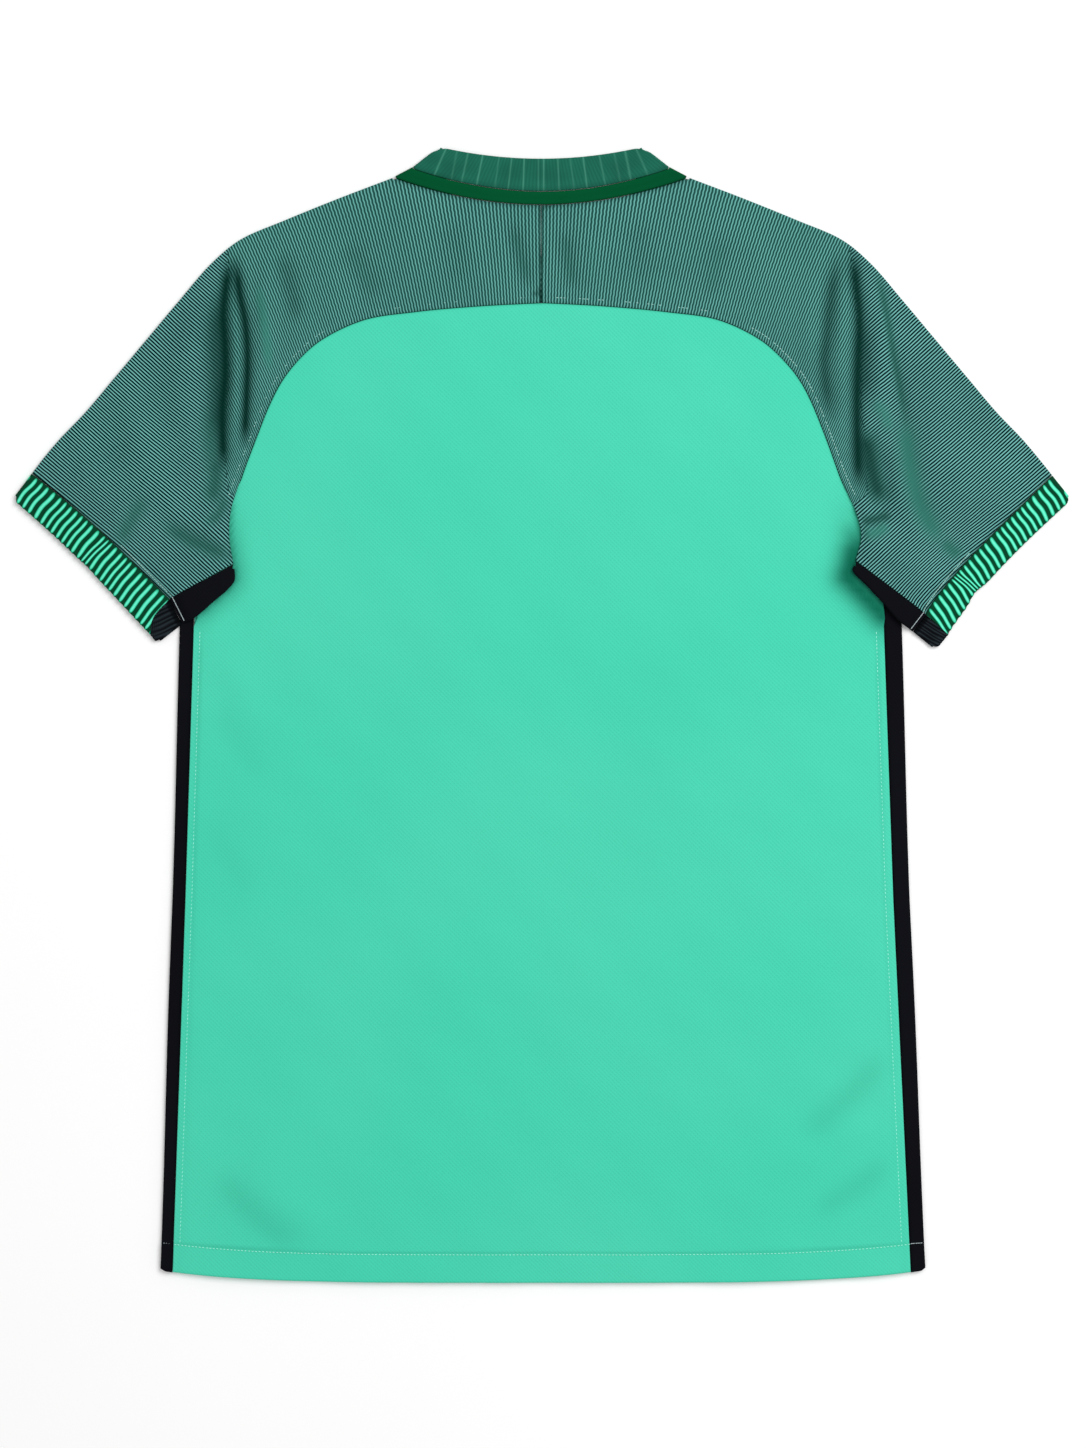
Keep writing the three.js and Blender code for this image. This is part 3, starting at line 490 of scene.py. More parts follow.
CREASES = (
    # Left sleeve
    Crease(((-211, 316), (-215.2, 292), (-217, 272), (-216, 252), (-215.6, 232), (-217.5, 205),
            (-216.5, 160)), 4.5, -2.8, 1.0, 0.14, 0.35),
    Crease(((-218, 300), (-222, 262), (-221.5, 222), (-223, 176)), 7.5, -0.5, 0.66, 0.3, 0.2),
    Crease(((-209, 316), (-205.8, 286), (-202.4, 268), (-200.6, 246), (-201, 222), (-203, 176)),
           3.7, -2.5, 1.0, 0.16, 0.3),
    Crease(((-209, 290), (-208.8, 240), (-210, 186)), 3.2, 2.0),
    Crease(((-222, 214), (-225, 190), (-224, 164)), 7, -0.8, 0.35, 0.3, 0.5),
    Crease(((-232, 312), (-240, 235), (-241, 150)), 14, 5.2, 0.0, 0.35),
    Crease(((-184, 334), (-188.5, 262), (-196, 200)), 7.0, 2.6),
    Crease(((-195, 304), (-189, 266), (-185, 222)), 4.6, 0.8, 0.0, 0.3, 0.8),
    Crease(((-180, 318), (-172, 290), (-166, 262)), 6, -1.2, 0.3, 0.3, 0.3),
    Crease(((-166, 322), (-163, 280), (-168, 246)), 8, 1.1),
    Crease(((-262, 131), (-240, 119), (-226, 113), (-207, 104)), 5.0, -2.2, 0.45, 0.3, 0.6),
    Crease(((-262, 146), (-238, 131), (-212, 124)), 7, 2.2),
    Crease(((-246, 108), (-228, 103), (-213, 96)), 6, 1.4),
    Crease(((-224, 178), (-222, 160), (-226, 140)), 6, -2.0, 0.5, 0.3, 0.6),
    Crease(((-214, 150), (-220, 136), (-230, 128)), 3.6, -1.2, 0.35, 0.3, 0.5),
    Crease(((-268, 150), (-281, 130), (-291, 110)), 5, -1.5, 0.3, 0.3, 0.5),
    Crease(((-282, 205), (-264, 162), (-248, 138)), 14, 2.2),
    Crease(((-322, 168), (-302, 148), (-284, 122)), 12, 1.6),
    Crease(((-300, 226), (-288, 190), (-296, 160)), 11, -0.9, 0.1),
    Crease(((-272, 262), (-262, 226), (-262, 192)), 12, -0.8, 0.08),
    # Right sleeve
    Crease(((203, 322), (197, 290), (193.6, 258), (191.6, 236), (198, 190)), 5.2, -1.9, 0.66, 0.25, 0.25),
    Crease(((210, 322), (213.4, 292), (215.6, 268), (214.4, 238), (213.8, 206), (214.6, 170), (215.5, 146)),
           4.8, -2.9, 0.97, 0.14, 0.2),
    Crease(((219, 272), (219.5, 240), (219, 206)), 6.0, -0.4, 0.5, 0.35, 0.0),
    Crease(((233, 304), (230.5, 240), (230, 188)), 7, 3.3),
    Crease(((219, 198), (222.5, 176), (226, 157), (233.5, 139)), 7.0, -3.0, 0.78, 0.26, 0.6),
    Crease(((222, 214), (231, 206), (237, 190)), 4, 0.6, 0.0, 0.3, 0.6),
    Crease(((215, 130), (226, 132.5), (238, 136)), 3.6, -1.6, 0.6, 0.25, 0.5),
    Crease(((216, 122), (228, 124), (236, 130)), 4.0, 1.2, 0.0, 0.3, 0.8),
    Crease(((238, 190), (243, 160), (240, 128)), 7, 3.0),
    Crease(((226, 308), (233, 276), (237.8, 248), (243.8, 218), (247.4, 190)), 2.7, -1.7, 0.5, 0.25, 0.6),
    Crease(((246.5, 206), (249.5, 170), (255, 146), (264, 128), (276, 112)), 6.4, -1.9, 0.2, 0.22, 0.95),
    Crease(((238, 262), (245, 214), (249, 182)), 4.2, -0.8, 0.1),
    Crease(((262, 250), (262, 190), (274, 140), (292, 112)), 14, 2.6),
    Crease(((204, 300), (203, 250), (205, 196)), 4.5, 1.7),
    Crease(((186, 316), (181, 262), (189, 208)), 7, 1.6),
    Crease(((214, 112), (236, 108), (254, 98)), 8, 1.5),
    Crease(((318, 178), (312, 150), (300, 124)), 12, 1.6),
    Crease(((272, 118), (280, 110), (288, 104)), 4.5, -1.2, 0.3, 0.3, 0.8),
    Crease(((286, 250), (296, 216), (300, 184)), 13, -0.8, 0.08),
    # Yoke
    Crease(((-22, 338), (-15, 312), (-7.5, 286)), 5.0, -1.1, 0.36, 0.3, 0.5),
    Crease(((-34, 334), (-27, 310), (-20, 288)), 5.0, 0.8, 0.0, 0.3, 0.3),
    Crease(((14, 332), (18, 306), (22.1, 286)), 5.0, -1.0, 0.34, 0.3, 0.5),
    Crease(((31, 332), (34, 306), (30, 286)), 5.5, 0.8, 0.0, 0.3, 0.4),
    Crease(((-134, 322), (-122, 300), (-112, 281)), 8, -1.1, 0.2, 0.3, 0.4),
    Crease(((-154, 332), (-148, 302), (-140, 276)), 11, 1.4),
    Crease(((150, 330), (143, 302), (137, 276)), 11, 1.3),
    Crease(((122, 330), (118, 306), (110, 280)), 8, -0.9, 0.14, 0.3, 0.4),
    Crease(((-2, 342), (6, 347), (17, 352)), 2.2, -0.9, 0.4),
    Crease(((-10, 284), (-4.5, 281.5), (-2.5, 288)), 1.7, 1.2, 0.0, 0.2),
    Crease(((-7, 288), (-3, 285), (-2.2, 292)), 1.5, -0.8, 0.5, 0.2),
    Crease(((-64, 338), (-56, 310), (-60, 288)), 9, -0.8, 0.14, 0.3, 0.3),
    Crease(((62, 340), (67, 312), (60, 290)), 9, -0.8, 0.12, 0.3, 0.3),
    # Body
    Crease(((-226, -306), (-196, -342), (-160, -368)), 10, -1.0, 0.13),
    Crease(((-204, -300), (-172, -336), (-140, -358)), 13, 1.2),
    Crease(((238, -226), (206, -262), (170, -292)), 10, -1.0, 0.12),
    Crease(((240, -300), (210, -324), (178, -343)), 9, -0.9, 0.11),
    Crease(((232, -264), (196, -294), (166, -312)), 12, 1.2),
    Crease(((-229, 10), (-208, -20), (-188, -50)), 9, -0.6, 0.05),
    Crease(((-232, -64), (-214, -98), (-194, -134)), 10, -0.6, 0.05),
    Crease(((-216, 50), (-204, 12), (-186, -18)), 12, 0.9),
    Crease(((-120, -150), (-40, -175), (60, -160)), 34, 0.9),
    Crease(((80, 60), (60, -60), (90, -150)), 40, -0.7, 0.02),
    Crease(((-150, 120), (-60, 60), (-30, -40)), 42, 0.8),
)


class Lay:
    """How the upper layer of cloth lies over the lower one."""

    ripples = ((41, 0.6, 0.3, 0.16), (57, 2.1, 1.9, 0.2), (29, 1.4, 4.0, 0.08), (83, 2.8, 2.6, 0.24))
    sag_y = 362.0
    sag_half_width = 52.0
    sag_half_depth = 20.0
    sag = 0.9

    def __init__(self) -> None:
        """Draws the outline that the cloth falls to."""
        self.outlines = [side.outline() for side in SIDES]

    def _near(self, crease: Crease, points: Array) -> Array:
        """Which points a crease can reach.

        Args:
            crease: The crease.
            points: Plan points.

        Returns:
            True where the crease reaches.
        """
        path = np.array(crease.path)
        low, high = path.min(0) - 3.2 * crease.spread, path.max(0) + 3.2 * crease.spread
        return ((points > low) & (points < high)).all(-1)

    def height(self, points: Array) -> Array:
        """Height of the middle of the upper cloth.

        Args:
            points: Plan points.

        Returns:
            Heights in millimetres.
        """
        inside = np.minimum(*(nearest(points, line)[0] for line in self.outlines))
        rise = np.full(points.shape[:-1], LOFT)
        for length, turn, phase, tall in self.ripples:
            along = points @ np.array([math.cos(turn), math.sin(turn)])
            rise += tall * np.sin(2 * math.pi * along / length + phase)
        for crease in CREASES:
            reached = self._near(crease, points)
            rise[reached] += crease.rise * crease.strength(points[reached])
        spare = (EDGE_HEIGHT + rise - LOWEST_BACK) / 0.5
        held = LOWEST_BACK + 0.5 * np.logaddexp(0, spare)
        across = ((points[..., 0] - AXIS_X) / self.sag_half_width) ** 4
        down = ((points[..., 1] - self.sag_y) / self.sag_half_depth) ** 2
        level = EDGE_HEIGHT + (held - EDGE_HEIGHT) * smooth(0, EDGE_FADE, inside)
        return level - self.sag * np.exp(-across - down)

    def dark(self, points: Array) -> Array:
        """Depth of shade in the creases, from 0 to 1."""
        return self._joined(points, lambda crease: crease.dark)

    def even(self, points: Array) -> Array:
        """Painted glow along the creases, where the lines fade to one even lit tone, from 0 to 1."""
        return self._joined(points, lambda crease: crease.even)

    def _joined(self, points: Array, depth: Callable[[Crease], float]) -> Array:
        """Joins one value of every crease.

        Args:
            points: Plan points.
            depth: Which value of a crease counts.

        Returns:
            Values from 0 to 1.
        """
        left = np.ones(points.shape[:-1])
        for crease in CREASES:
            if depth(crease):
                reached = self._near(crease, points)
                left[reached] *= 1 - depth(crease) * crease.strength(points[reached])
        return 1 - left


@dataclass
class Wall:
    """A closed wall of cloth about a grid of middle points, with a rounded edge.

    raised lifts the outer face alone, has says which cells are cloth, and loop joins the last row to the
    first.
    """

    grid: Array
    thickness: float = CLOTH
    raised: Array | float = 0.0
    has: Array | None = None
    loop: bool = False

    def _cells(self) -> Array:
        """Cells that are cloth, with an empty last row unless the grid is a ring.

        Returns:
            True for each cell of cloth.
        """
        rows, columns = self.grid.shape[:2]
        cells = np.ones((rows, columns - 1), bool)
        if self.has is not None:
            cells &= self.has
        if not self.loop:
            cells[-1] = False
        return cells

    def area(self) -> float:
        """Area of the middle of the cloth in square metres.

        Returns:
            The area.
        """
        g = np.roll(self.grid, -1, 0)
        a, b, c, d = self.grid[:, :-1], g[:, :-1], g[:, 1:], self.grid[:, 1:]
        size = np.linalg.norm(np.cross(c - a, d - b), axis=-1) / 2
        return float(size[self._cells()].sum()) * MM * MM

    def solid(self) -> tuple[Array, Array, Array]:
        """The wall's mesh.

        Returns:
            Vertices in millimetres, four-sided faces, and the grid point that each vertex came from.
        """
        grid, cells = self.grid, self._cells()
        rows, columns = grid.shape[:2]
        along_rows = np.zeros((rows, columns), bool)
        along_rows[:, :-1] |= cells
        along_rows[:, 1:] |= cells
        along_columns = np.zeros((rows, columns), bool)
        along_columns[:, :-1] = cells | np.roll(cells, 1, 0)
        used = along_rows | np.roll(along_rows, 1, 0)
        to_row = unit(np.roll(grid, -1, 0) - grid) * along_rows[..., None]
        to_column = np.zeros_like(grid)
        to_column[:, :-1] = unit(grid[:, 1:] - grid[:, :-1])
        to_column *= along_columns[..., None]
        from_row = np.roll(to_row, 1, 0)
        from_column = np.roll(to_column, 1, 1)
        row_way, column_way = to_row + from_row, to_column + from_column
        normal = unit(np.cross(row_way, column_way))
        mitre = np.ones((rows, columns))
        for here, before, way in ((to_row, from_row, row_way), (to_column, from_column, column_way)):
            both = (np.abs(here).sum(-1) > 0) & (np.abs(before).sum(-1) > 0)
            mitre *= np.where(both, 2 / np.maximum(np.linalg.norm(way, axis=-1), 1e-3), 1)
        half = (self.thickness / 2 * np.minimum(mitre, MITRE_LIMIT))[..., None]
        inward = to_row - from_row + to_column - from_column
        inward -= (inward * normal).sum(-1, keepdims=True) * normal
        count = along_rows.astype(int) + np.roll(along_rows, 1, 0)
        count = count + along_columns + np.roll(along_columns, 1, 1)
        rim = used & (count < 4)
        full = np.zeros((rows, columns), int)
        for shift_row in (0, 1):
            for shift_column in (0, 1):
                padded = np.pad(cells, ((0, 0), (0, 1)))
                full += np.roll(padded, (shift_row, shift_column), (0, 1))
        rim |= used & (full < 4)
        pull = unit(inward) * (RIM_INSET * rim)[..., None]
        raised = np.broadcast_to(np.asarray(self.raised, float), (rows, columns))[..., None]
        outer = grid + normal * (half + raised) + pull
        inner = grid - normal * half + pull
        flat = np.arange(rows * columns).reshape(rows, columns)
        number = np.full(rows * columns, -1)
        number[flat[used]] = np.arange(used.sum())
        middle = np.full(rows * columns, -1)
        middle[flat[rim]] = 2 * used.sum() + np.arange(rim.sum())
        vertices = np.concatenate([outer[used], inner[used], grid[rim]])
        source = np.concatenate([flat[used], flat[used], flat[rim]])
        i, j = np.nonzero(cells)
        after = (i + 1) % rows
        a, b, c, d = flat[i, j], flat[after, j], flat[after, j + 1], flat[i, j + 1]
        low = used.sum()
        faces = [
            np.stack([number[a], number[b], number[c], number[d]], 1),
            np.stack([number[a], number[d], number[c], number[b]], 1) + low,
        ]
        missing = (
            (~np.roll(cells, 1, 0)[i, j], a, d),
            (~np.roll(cells, -1, 0)[i, j], c, b),
            (~np.pad(cells, ((0, 0), (1, 0)))[i, j], b, a),
            (~np.pad(cells, ((0, 0), (0, 1)))[i, j + 1], d, c),
        )
        for open_side, p, q in missing:
            p, q = p[open_side], q[open_side]
            faces.append(np.stack([number[p], number[q], middle[q], middle[p]], 1))
            faces.append(np.stack([middle[p], middle[q], number[q] + low, number[p] + low], 1))
        quads = np.concatenate(faces)
        vertices[:, 2] = np.maximum(vertices[:, 2], 0)
        corner = vertices[quads]
        turned = np.cross(corner[:, 2] - corner[:, 0], corner[:, 3] - corner[:, 1])
        if (corner.mean(1) * turned).sum() < 0:
            quads = quads[:, ::-1]
        return vertices, quads, source


def make_object(
    name: str, vertices: Array, faces: Array | list, material: bpy.types.Material
) -> bpy.types.Object:
    """A smooth mesh object that rides on the jersey.

    Args:
        name: The piece's name.
        vertices: Points in millimetres.
        faces: Vertex numbers of each face.
        material: Its finish.

    Returns:
        The linked object.
    """
    mesh = bpy.data.meshes.new(name)
    mesh.from_pydata((vertices * MM).tolist(), [], faces.tolist() if isinstance(faces, np.ndarray) else faces)
    mesh.polygons.foreach_set("use_smooth", np.ones(len(mesh.polygons), bool))
    mesh.materials.append(material)
    mesh.update()
    piece = bpy.data.objects.new(name, mesh)
    bpy.context.scene.collection.objects.link(piece)
    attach(piece, "root")
    return piece


def wall_object(
    name: str,
    wall: Wall,
    material: bpy.types.Material,
    shades: dict[str, Array] | None = None,
    grains: dict[str, Array] | None = None,
) -> bpy.types.Object:
    """A piece of cloth with what its finish reads at each point.

    Args:
        name: The piece's name.
        wall: Its shape.
        material: Its finish.
        shades: Values at the grid's points, by name.
        grains: Two coordinates at the grid's points, by name, in millimetres.

    Returns:
        The linked object.
    """
    vertices, quads, source = wall.solid()
    piece = make_object(name, vertices, quads, material)
    mesh = piece.data
    for label, values in (shades or {}).items():
        layer = mesh.attributes.new(label, "FLOAT", "POINT")
        spread = np.broadcast_to(values, wall.grid.shape[:2]).ravel()
        layer.data.foreach_set("value", spread[source].astype(np.float32))
    corners = np.empty(len(mesh.loops), np.int64)
    mesh.loops.foreach_get("vertex_index", corners)
    for label, values in (grains or {}).items():
        layer = mesh.uv_layers.new(name=label)
        layer.data.foreach_set("uv", values.reshape(-1, 2)[source][corners].ravel().astype(np.float32))
    return piece


def near_edge_steps(count: int, edge: float) -> Array:
    """Shares from 0 to 1 in even steps, with one more close to each end."""
    return np.sort(np.concatenate([np.linspace(0, 1, count + 1), [edge, 1 - edge]]))


def round_fold(centre: Array, outward: Array, top: Array | float, bottom: Array | float) -> Array:
    """Middle points round an edge fold, from the upper cloth to the lower, without its two ends.

    Args:
        centre: Plan points at the fold's centre.
        outward: Unit plan directions towards the fold's edge.
        top: Height of the upper cloth there.
        bottom: Height of the lower cloth there.

    Returns:
        Points, with the steps round the fold next to last.
    """
    angle = np.arange(1, FOLD_STEPS) / FOLD_STEPS * math.pi
    radius = (np.asarray(top, float) - bottom)[..., None] / 2 + 0 * angle
    reach = radius * np.sin(angle)
    height = np.asarray(bottom, float)[..., None] + radius * (1 + np.cos(angle))
    return lift(centre[..., None, :] + outward[..., None, :] * reach[..., None], height)


def away_from(before: Array, after: Array, inside: Array) -> Array:
    """Unit normal of a plan line, pointing away from a point inside.

    Args:
        before: Where each line begins.
        after: Where it ends.
        inside: The point inside.

    Returns:
        A normal for each line.
    """
    along = unit(after - before)
    normal = np.stack([along[..., 1], -along[..., 0]], -1)
    sign = np.where((normal * (before - inside)).sum(-1, keepdims=True) < 0, -1, 1)
    return normal * sign


def srgb(red: int, green: int, blue: int) -> tuple[float, float, float, float]:
    """A screen colour as the linear colour that a shader takes.

    Args:
        red: Red, from 0 to 255.
        green: Green, the same.
        blue: Blue, the same.

    Returns:
        Red, green, blue and alpha, from 0 to 1.
    """
    parts = [c / 255 for c in (red, green, blue)]
    linear = [c / 12.92 if c <= 0.04045 else ((c + 0.055) / 1.055) ** 2.4 for c in parts]
    return (*linear, 1.0)


class Graph:
    """A material's node tree, with short calls for the nodes that the finishes share."""

    def __init__(self, name: str) -> None:
        """Makes a material with one principled shader.

        Args:
            name: Name of the material.
        """
        self.material = bpy.data.materials.new(name)
        self.material.use_nodes = True
        self.nodes = self.material.node_tree.nodes
        self.links = self.material.node_tree.links
        self.shader = self.nodes["Principled BSDF"]

    def node(
        self, kind: str, inputs: dict[str | int, object] | None = None, **settings: object
    ) -> bpy.types.Node:
        """A node with its settings and inputs.

        Args:
            kind: The node's type.
            inputs: Values or sockets by input name or number.
            **settings: The node's own properties.

        Returns:
            The node.
        """
        made = self.nodes.new(kind)
        for label, value in settings.items():
            setattr(made, label, value)
        for label, value in (inputs or {}).items():
            if isinstance(value, bpy.types.NodeSocket):
                self.links.new(value, made.inputs[label])
            else:
                made.inputs[label].default_value = value
        return made

    def math(self, operation: str, a: object, b: object = 0.0, c: object = 0.0) -> bpy.types.NodeSocket:
        """Arithmetic on two or three values or sockets."""
        return self.node("ShaderNodeMath", {0: a, 1: b, 2: c}, operation=operation).outputs[0]

    def mix(self, share: object, a: object, b: object) -> bpy.types.NodeSocket:
        """A colour between a and b.

        Args:
            share: Share of b.
            a: Colour at 0.
            b: Colour at 1.

        Returns:
            The mixed colour.
        """
        made = self.node("ShaderNodeMix", {0: share}, data_type="RGBA")
        for number, value in ((6, a), (7, b)):
            if isinstance(value, bpy.types.NodeSocket):
                self.links.new(value, made.inputs[number])
            else:
                made.inputs[number].default_value = value
        return made.outputs[2]

    def place(self) -> bpy.types.NodeSocket:
        """The point's place on the piece, in metres."""
        return self.node("ShaderNodeTexCoord").outputs["Object"]

    def grain(self, name: str) -> bpy.types.NodeSocket:
        """The point's place in a cloth's own grain, in millimetres."""
        return self.node("ShaderNodeUVMap", uv_map=name).outputs["UV"]

    def value(self, name: str) -> bpy.types.NodeSocket:
        """A value kept at the piece's points."""
        return self.node("ShaderNodeAttribute", attribute_name=name).outputs["Fac"]

    def noise(self, place: object, scale: float, detail: float = 2.0) -> bpy.types.NodeSocket:
        """Soft noise between 0 and 1."""
        inputs = {"Vector": place, "Scale": scale, "Detail": detail, "Roughness": 0.55}
        return self.node("ShaderNodeTexNoise", inputs, noise_dimensions="3D").outputs["Fac"]

    def wave(
        self, place: object, way: tuple[float, float, float], pitch: float, shift: object = 0.0
    ) -> bpy.types.NodeSocket:
        """Even lines across a direction, from -1 to 1.

        Args:
            place: Place socket.
            way: Direction across the lines, of length one.
            pitch: Distance from line to line, in the place's unit.
            shift: A phase to add.

        Returns:
            The socket.
        """
        across = tuple(2 * math.pi / pitch * c for c in way)
        dot = self.node("ShaderNodeVectorMath", {0: place, 1: across}, operation="DOT_PRODUCT")
        return self.math("SINE", self.math("ADD", dot.outputs["Value"], shift))

    def soft_step(self, value: object, low: float, high: float) -> bpy.types.NodeSocket:
        """Soft step of a value from 0 at low to 1 at high."""
        inputs = {"Value": value, "From Min": low, "From Max": high}
        return self.node("ShaderNodeMapRange", inputs, interpolation_type="SMOOTHSTEP").outputs["Result"]

    def finish(self, colour: object, height: object, look: Knit) -> bpy.types.Material:
        """Joins colour and relief to the shader and sets its plain values.

        Args:
            colour: Colour socket or value.
            height: Relief socket, about 0 to 1.
            look: The finish with the relief's depth, roughness and sheen.

        Returns:
            The material.
        """
        inputs = {"Height": height, "Distance": look.relief, "Strength": look.relief_strength}
        bump = self.node("ShaderNodeBump", inputs)
        self.links.new(bump.outputs["Normal"], self.shader.inputs["Normal"])
        if isinstance(colour, bpy.types.NodeSocket):
            self.links.new(colour, self.shader.inputs["Base Color"])
        else:
            self.shader.inputs["Base Color"].default_value = colour
        self.shader.inputs["Roughness"].default_value = look.roughness
        self.shader.inputs["Sheen Weight"].default_value = look.sheen
        self.shader.inputs["Sheen Roughness"].default_value = 0.5
        self.shader.inputs["Specular IOR Level"].default_value = look.specular
        return self.material


Colour = tuple[float, float, float, float]


@dataclass(frozen=True)
class Knit:
    """A smooth fine knit with faint diagonal lines."""

    name: str
    colour: Colour
    deep: Colour
    pale: Colour
    roughness: float = 0.85
    sheen: float = 0.02
    specular: float = 0.08
    line_pitch: float = 1.9
    line_contrast: float = 0.1
    broad_scale: float = 5.0
    grain_scale: float = 900.0
    relief: float = 0.00012
    relief_strength: float = 0.7

    def build(self) -> bpy.types.Material:
        """The knit: broad soft tone, diagonal lines, small loops and dark in the contacts.

        Returns:
            The material.
        """
        graph = Graph(self.name)
        place = graph.place()
        broad = graph.soft_step(graph.noise(place, self.broad_scale, 1.0), 0.3, 0.7)
        half = math.sqrt(0.5)
        down = graph.wave(place, (half, half, 0.0), self.line_pitch * MM)
        across = graph.wave(place, (half, -half, 0.0), self.line_pitch * MM)
        lines = graph.math("MULTIPLY_ADD", down, 0.7, graph.math("MULTIPLY", across, 0.3))
        loops = graph.noise(place, self.grain_scale, 1.0)
        tone = graph.mix(graph.math("MULTIPLY", broad, 0.5), self.colour, self.pale)
        grain = graph.math("MULTIPLY_ADD", lines, self.line_contrast, graph.math("MULTIPLY", loops, 0.1))
        tone = graph.mix(graph.math("ABSOLUTE", grain), tone, self.deep)
        tone = graph.mix(graph.value("shade"), tone, self.deep)
        relief = graph.math("ADD", graph.math("MULTIPLY", lines, 0.3), loops)
        return graph.finish(tone, relief, self)


@dataclass(frozen=True)
class Pinstripe(Knit):
    """Fine light lines on a dark ground, upright on the yoke and slanted on the sleeve."""

    pitch: float = STRIPE_PITCH
    yoke_pitch: float = YOKE_PITCH
    # The yoke's own softer tone, and the colour of the painted glow on lit creases
    yoke_tone_and_painted_glow: Colour = (0.03, 0.2, 0.16, 1.0)
    yoke_evenness: float = 0.3
    thread_edge: tuple[float, float] = (-0.1, 0.65)
    wobble_scale: float = 130.0
    fleck_scale: float = 420.0
    patch_scale: float = 16.0
    relief: float = 0.0002

    def build(self) -> bpy.types.Material:
        """Two fields of lines that meet in the sleeve's valley, with a heathered ground.

        Returns:
            The material.
        """
        graph = Graph(self.name)
        place = graph.place()
        wobble = graph.math("MULTIPLY", graph.noise(place, self.wobble_scale, 1.0), 1.2)
        turns = graph.wave(graph.grain("yoke_grain"), (0.3, 0.954, 0.0), YOKE_ZIGZAG_PITCH)
        zigzag = graph.math("MULTIPLY_ADD", turns, 2 * math.pi * YOKE_ZIGZAG / self.yoke_pitch, wobble)
        yoke = graph.wave(graph.grain("yoke_grain"), (1.0, 0.0, 0.0), self.yoke_pitch, zigzag)
        sleeve = graph.wave(graph.grain("sleeve_grain"), (1.0, 0.0, 0.0), self.pitch, wobble)
        share = graph.value("arm_share")
        lines = graph.math("ADD", yoke, graph.math("MULTIPLY", share, graph.math("SUBTRACT", sleeve, yoke)))
        thread = graph.soft_step(lines, *self.thread_edge)
        flecks = graph.noise(place, self.fleck_scale, 3.0)
        patches = graph.soft_step(graph.noise(place, self.patch_scale, 2.0), 0.3, 0.7)
        strength = graph.math("MULTIPLY", thread, graph.math("MULTIPLY_ADD", flecks, 0.4, 0.78))
        strength = graph.math("MULTIPLY", strength, graph.math("MULTIPLY_ADD", patches, 0.16, 0.88))
        tone = graph.mix(strength, self.colour, self.pale)
        evenness = graph.math("MULTIPLY_ADD", share, -self.yoke_evenness, self.yoke_evenness)
        # Fades the lines: the yoke's own softer tone, and a painted glow along the creases
        tone = graph.mix(graph.math("MAXIMUM", evenness, graph.value("even")), tone, self.yoke_tone_and_painted_glow)
        tone = graph.mix(graph.value("shade"), tone, self.deep)
        return graph.finish(tone, thread, self)


@dataclass(frozen=True)
class CuffRib(Knit):
    """Raised light ribs between dark furrows."""

    body_edge: tuple[float, float] = (-0.12, 0.28)
    core_edge: tuple[float, float] = (0.3, 1.0)
    grain_scale: float = 700.0
    relief: float = 0.0002

    def build(self) -> bpy.types.Material:
        """Ribs with a painted highlight along each crown, and small cross knit on them.

        Returns:
            The material.
        """
        graph = Graph(self.name)
        grain = graph.grain("rib_grain")
        ribs = graph.wave(grain, (1.0, 0.0, 0.0), 1.0, math.pi / 2)
        ribs = graph.math("SUBTRACT", ribs, graph.value("rib_end"))
        body = graph.soft_step(ribs, *self.body_edge)
        # Painted highlight: the crown of each rib turns to the pale colour
        core = graph.soft_step(ribs, *self.core_edge)
        knit = graph.noise(graph.place(), self.grain_scale, 2.0)
        green = graph.mix(core, self.colour, self.pale)
        shown = graph.math("MULTIPLY", body, graph.math("MULTIPLY_ADD", knit, 0.35, 0.8))
        tone = graph.mix(shown, self.deep, green)
        tone = graph.mix(graph.value("shade"), tone, self.deep)
        return graph.finish(tone, knit, self)


@dataclass(frozen=True)
class FineRib(Knit):
    """Narrow knitted ribs of one colour; pale needle lines on the collar, a painted highlight on black rib
    crowns.
    """

    rib_contrast: float = 0.3
    patch_contrast: float = 0.35
    pale_strength: float = 0.6
    patch_scale: float = 55.0
    grain_scale: float = 800.0
    relief: float = 0.00015

    def build(self) -> bpy.types.Material:
        """Painted shade between the ribs, patches of tone and the pale lines.

        Returns:
            The material.
        """
        graph = Graph(self.name)
        ribs = graph.wave(graph.grain("rib_grain"), (1.0, 0.0, 0.0), 1.0, math.pi / 2)
        # Painted shade in the furrows between the ribs
        between = graph.math("MULTIPLY", graph.soft_step(ribs, 0.5, -0.9), self.rib_contrast)
        patches = graph.soft_step(graph.noise(graph.place(), self.patch_scale, 1.0), 0.35, 0.7)
        knit = graph.noise(graph.place(), self.grain_scale, 2.0)
        tone = graph.mix(graph.math("MULTIPLY", patches, self.patch_contrast), self.colour, self.deep)
        tone = graph.mix(between, tone, self.deep)
        # The collar's pale needle lines, and the painted highlight on the black ribs' crowns
        tone = graph.mix(graph.math("MULTIPLY", graph.value("pale"), self.pale_strength), tone, self.pale)
        tone = graph.mix(graph.value("shade"), tone, self.deep)
        return graph.finish(tone, knit, self)


@dataclass(frozen=True)
class Thread(Knit):
    """Twisted sewing thread."""

    grain_scale: float = 1500.0
    relief: float = 0.0001

    def build(self) -> bpy.types.Material:
        """Thread with small light and dark turns.

        Returns:
            The material.
        """
        graph = Graph(self.name)
        twist = graph.noise(graph.place(), self.grain_scale, 1.0)
        return graph.finish(graph.mix(twist, self.colour, self.pale), twist, self)


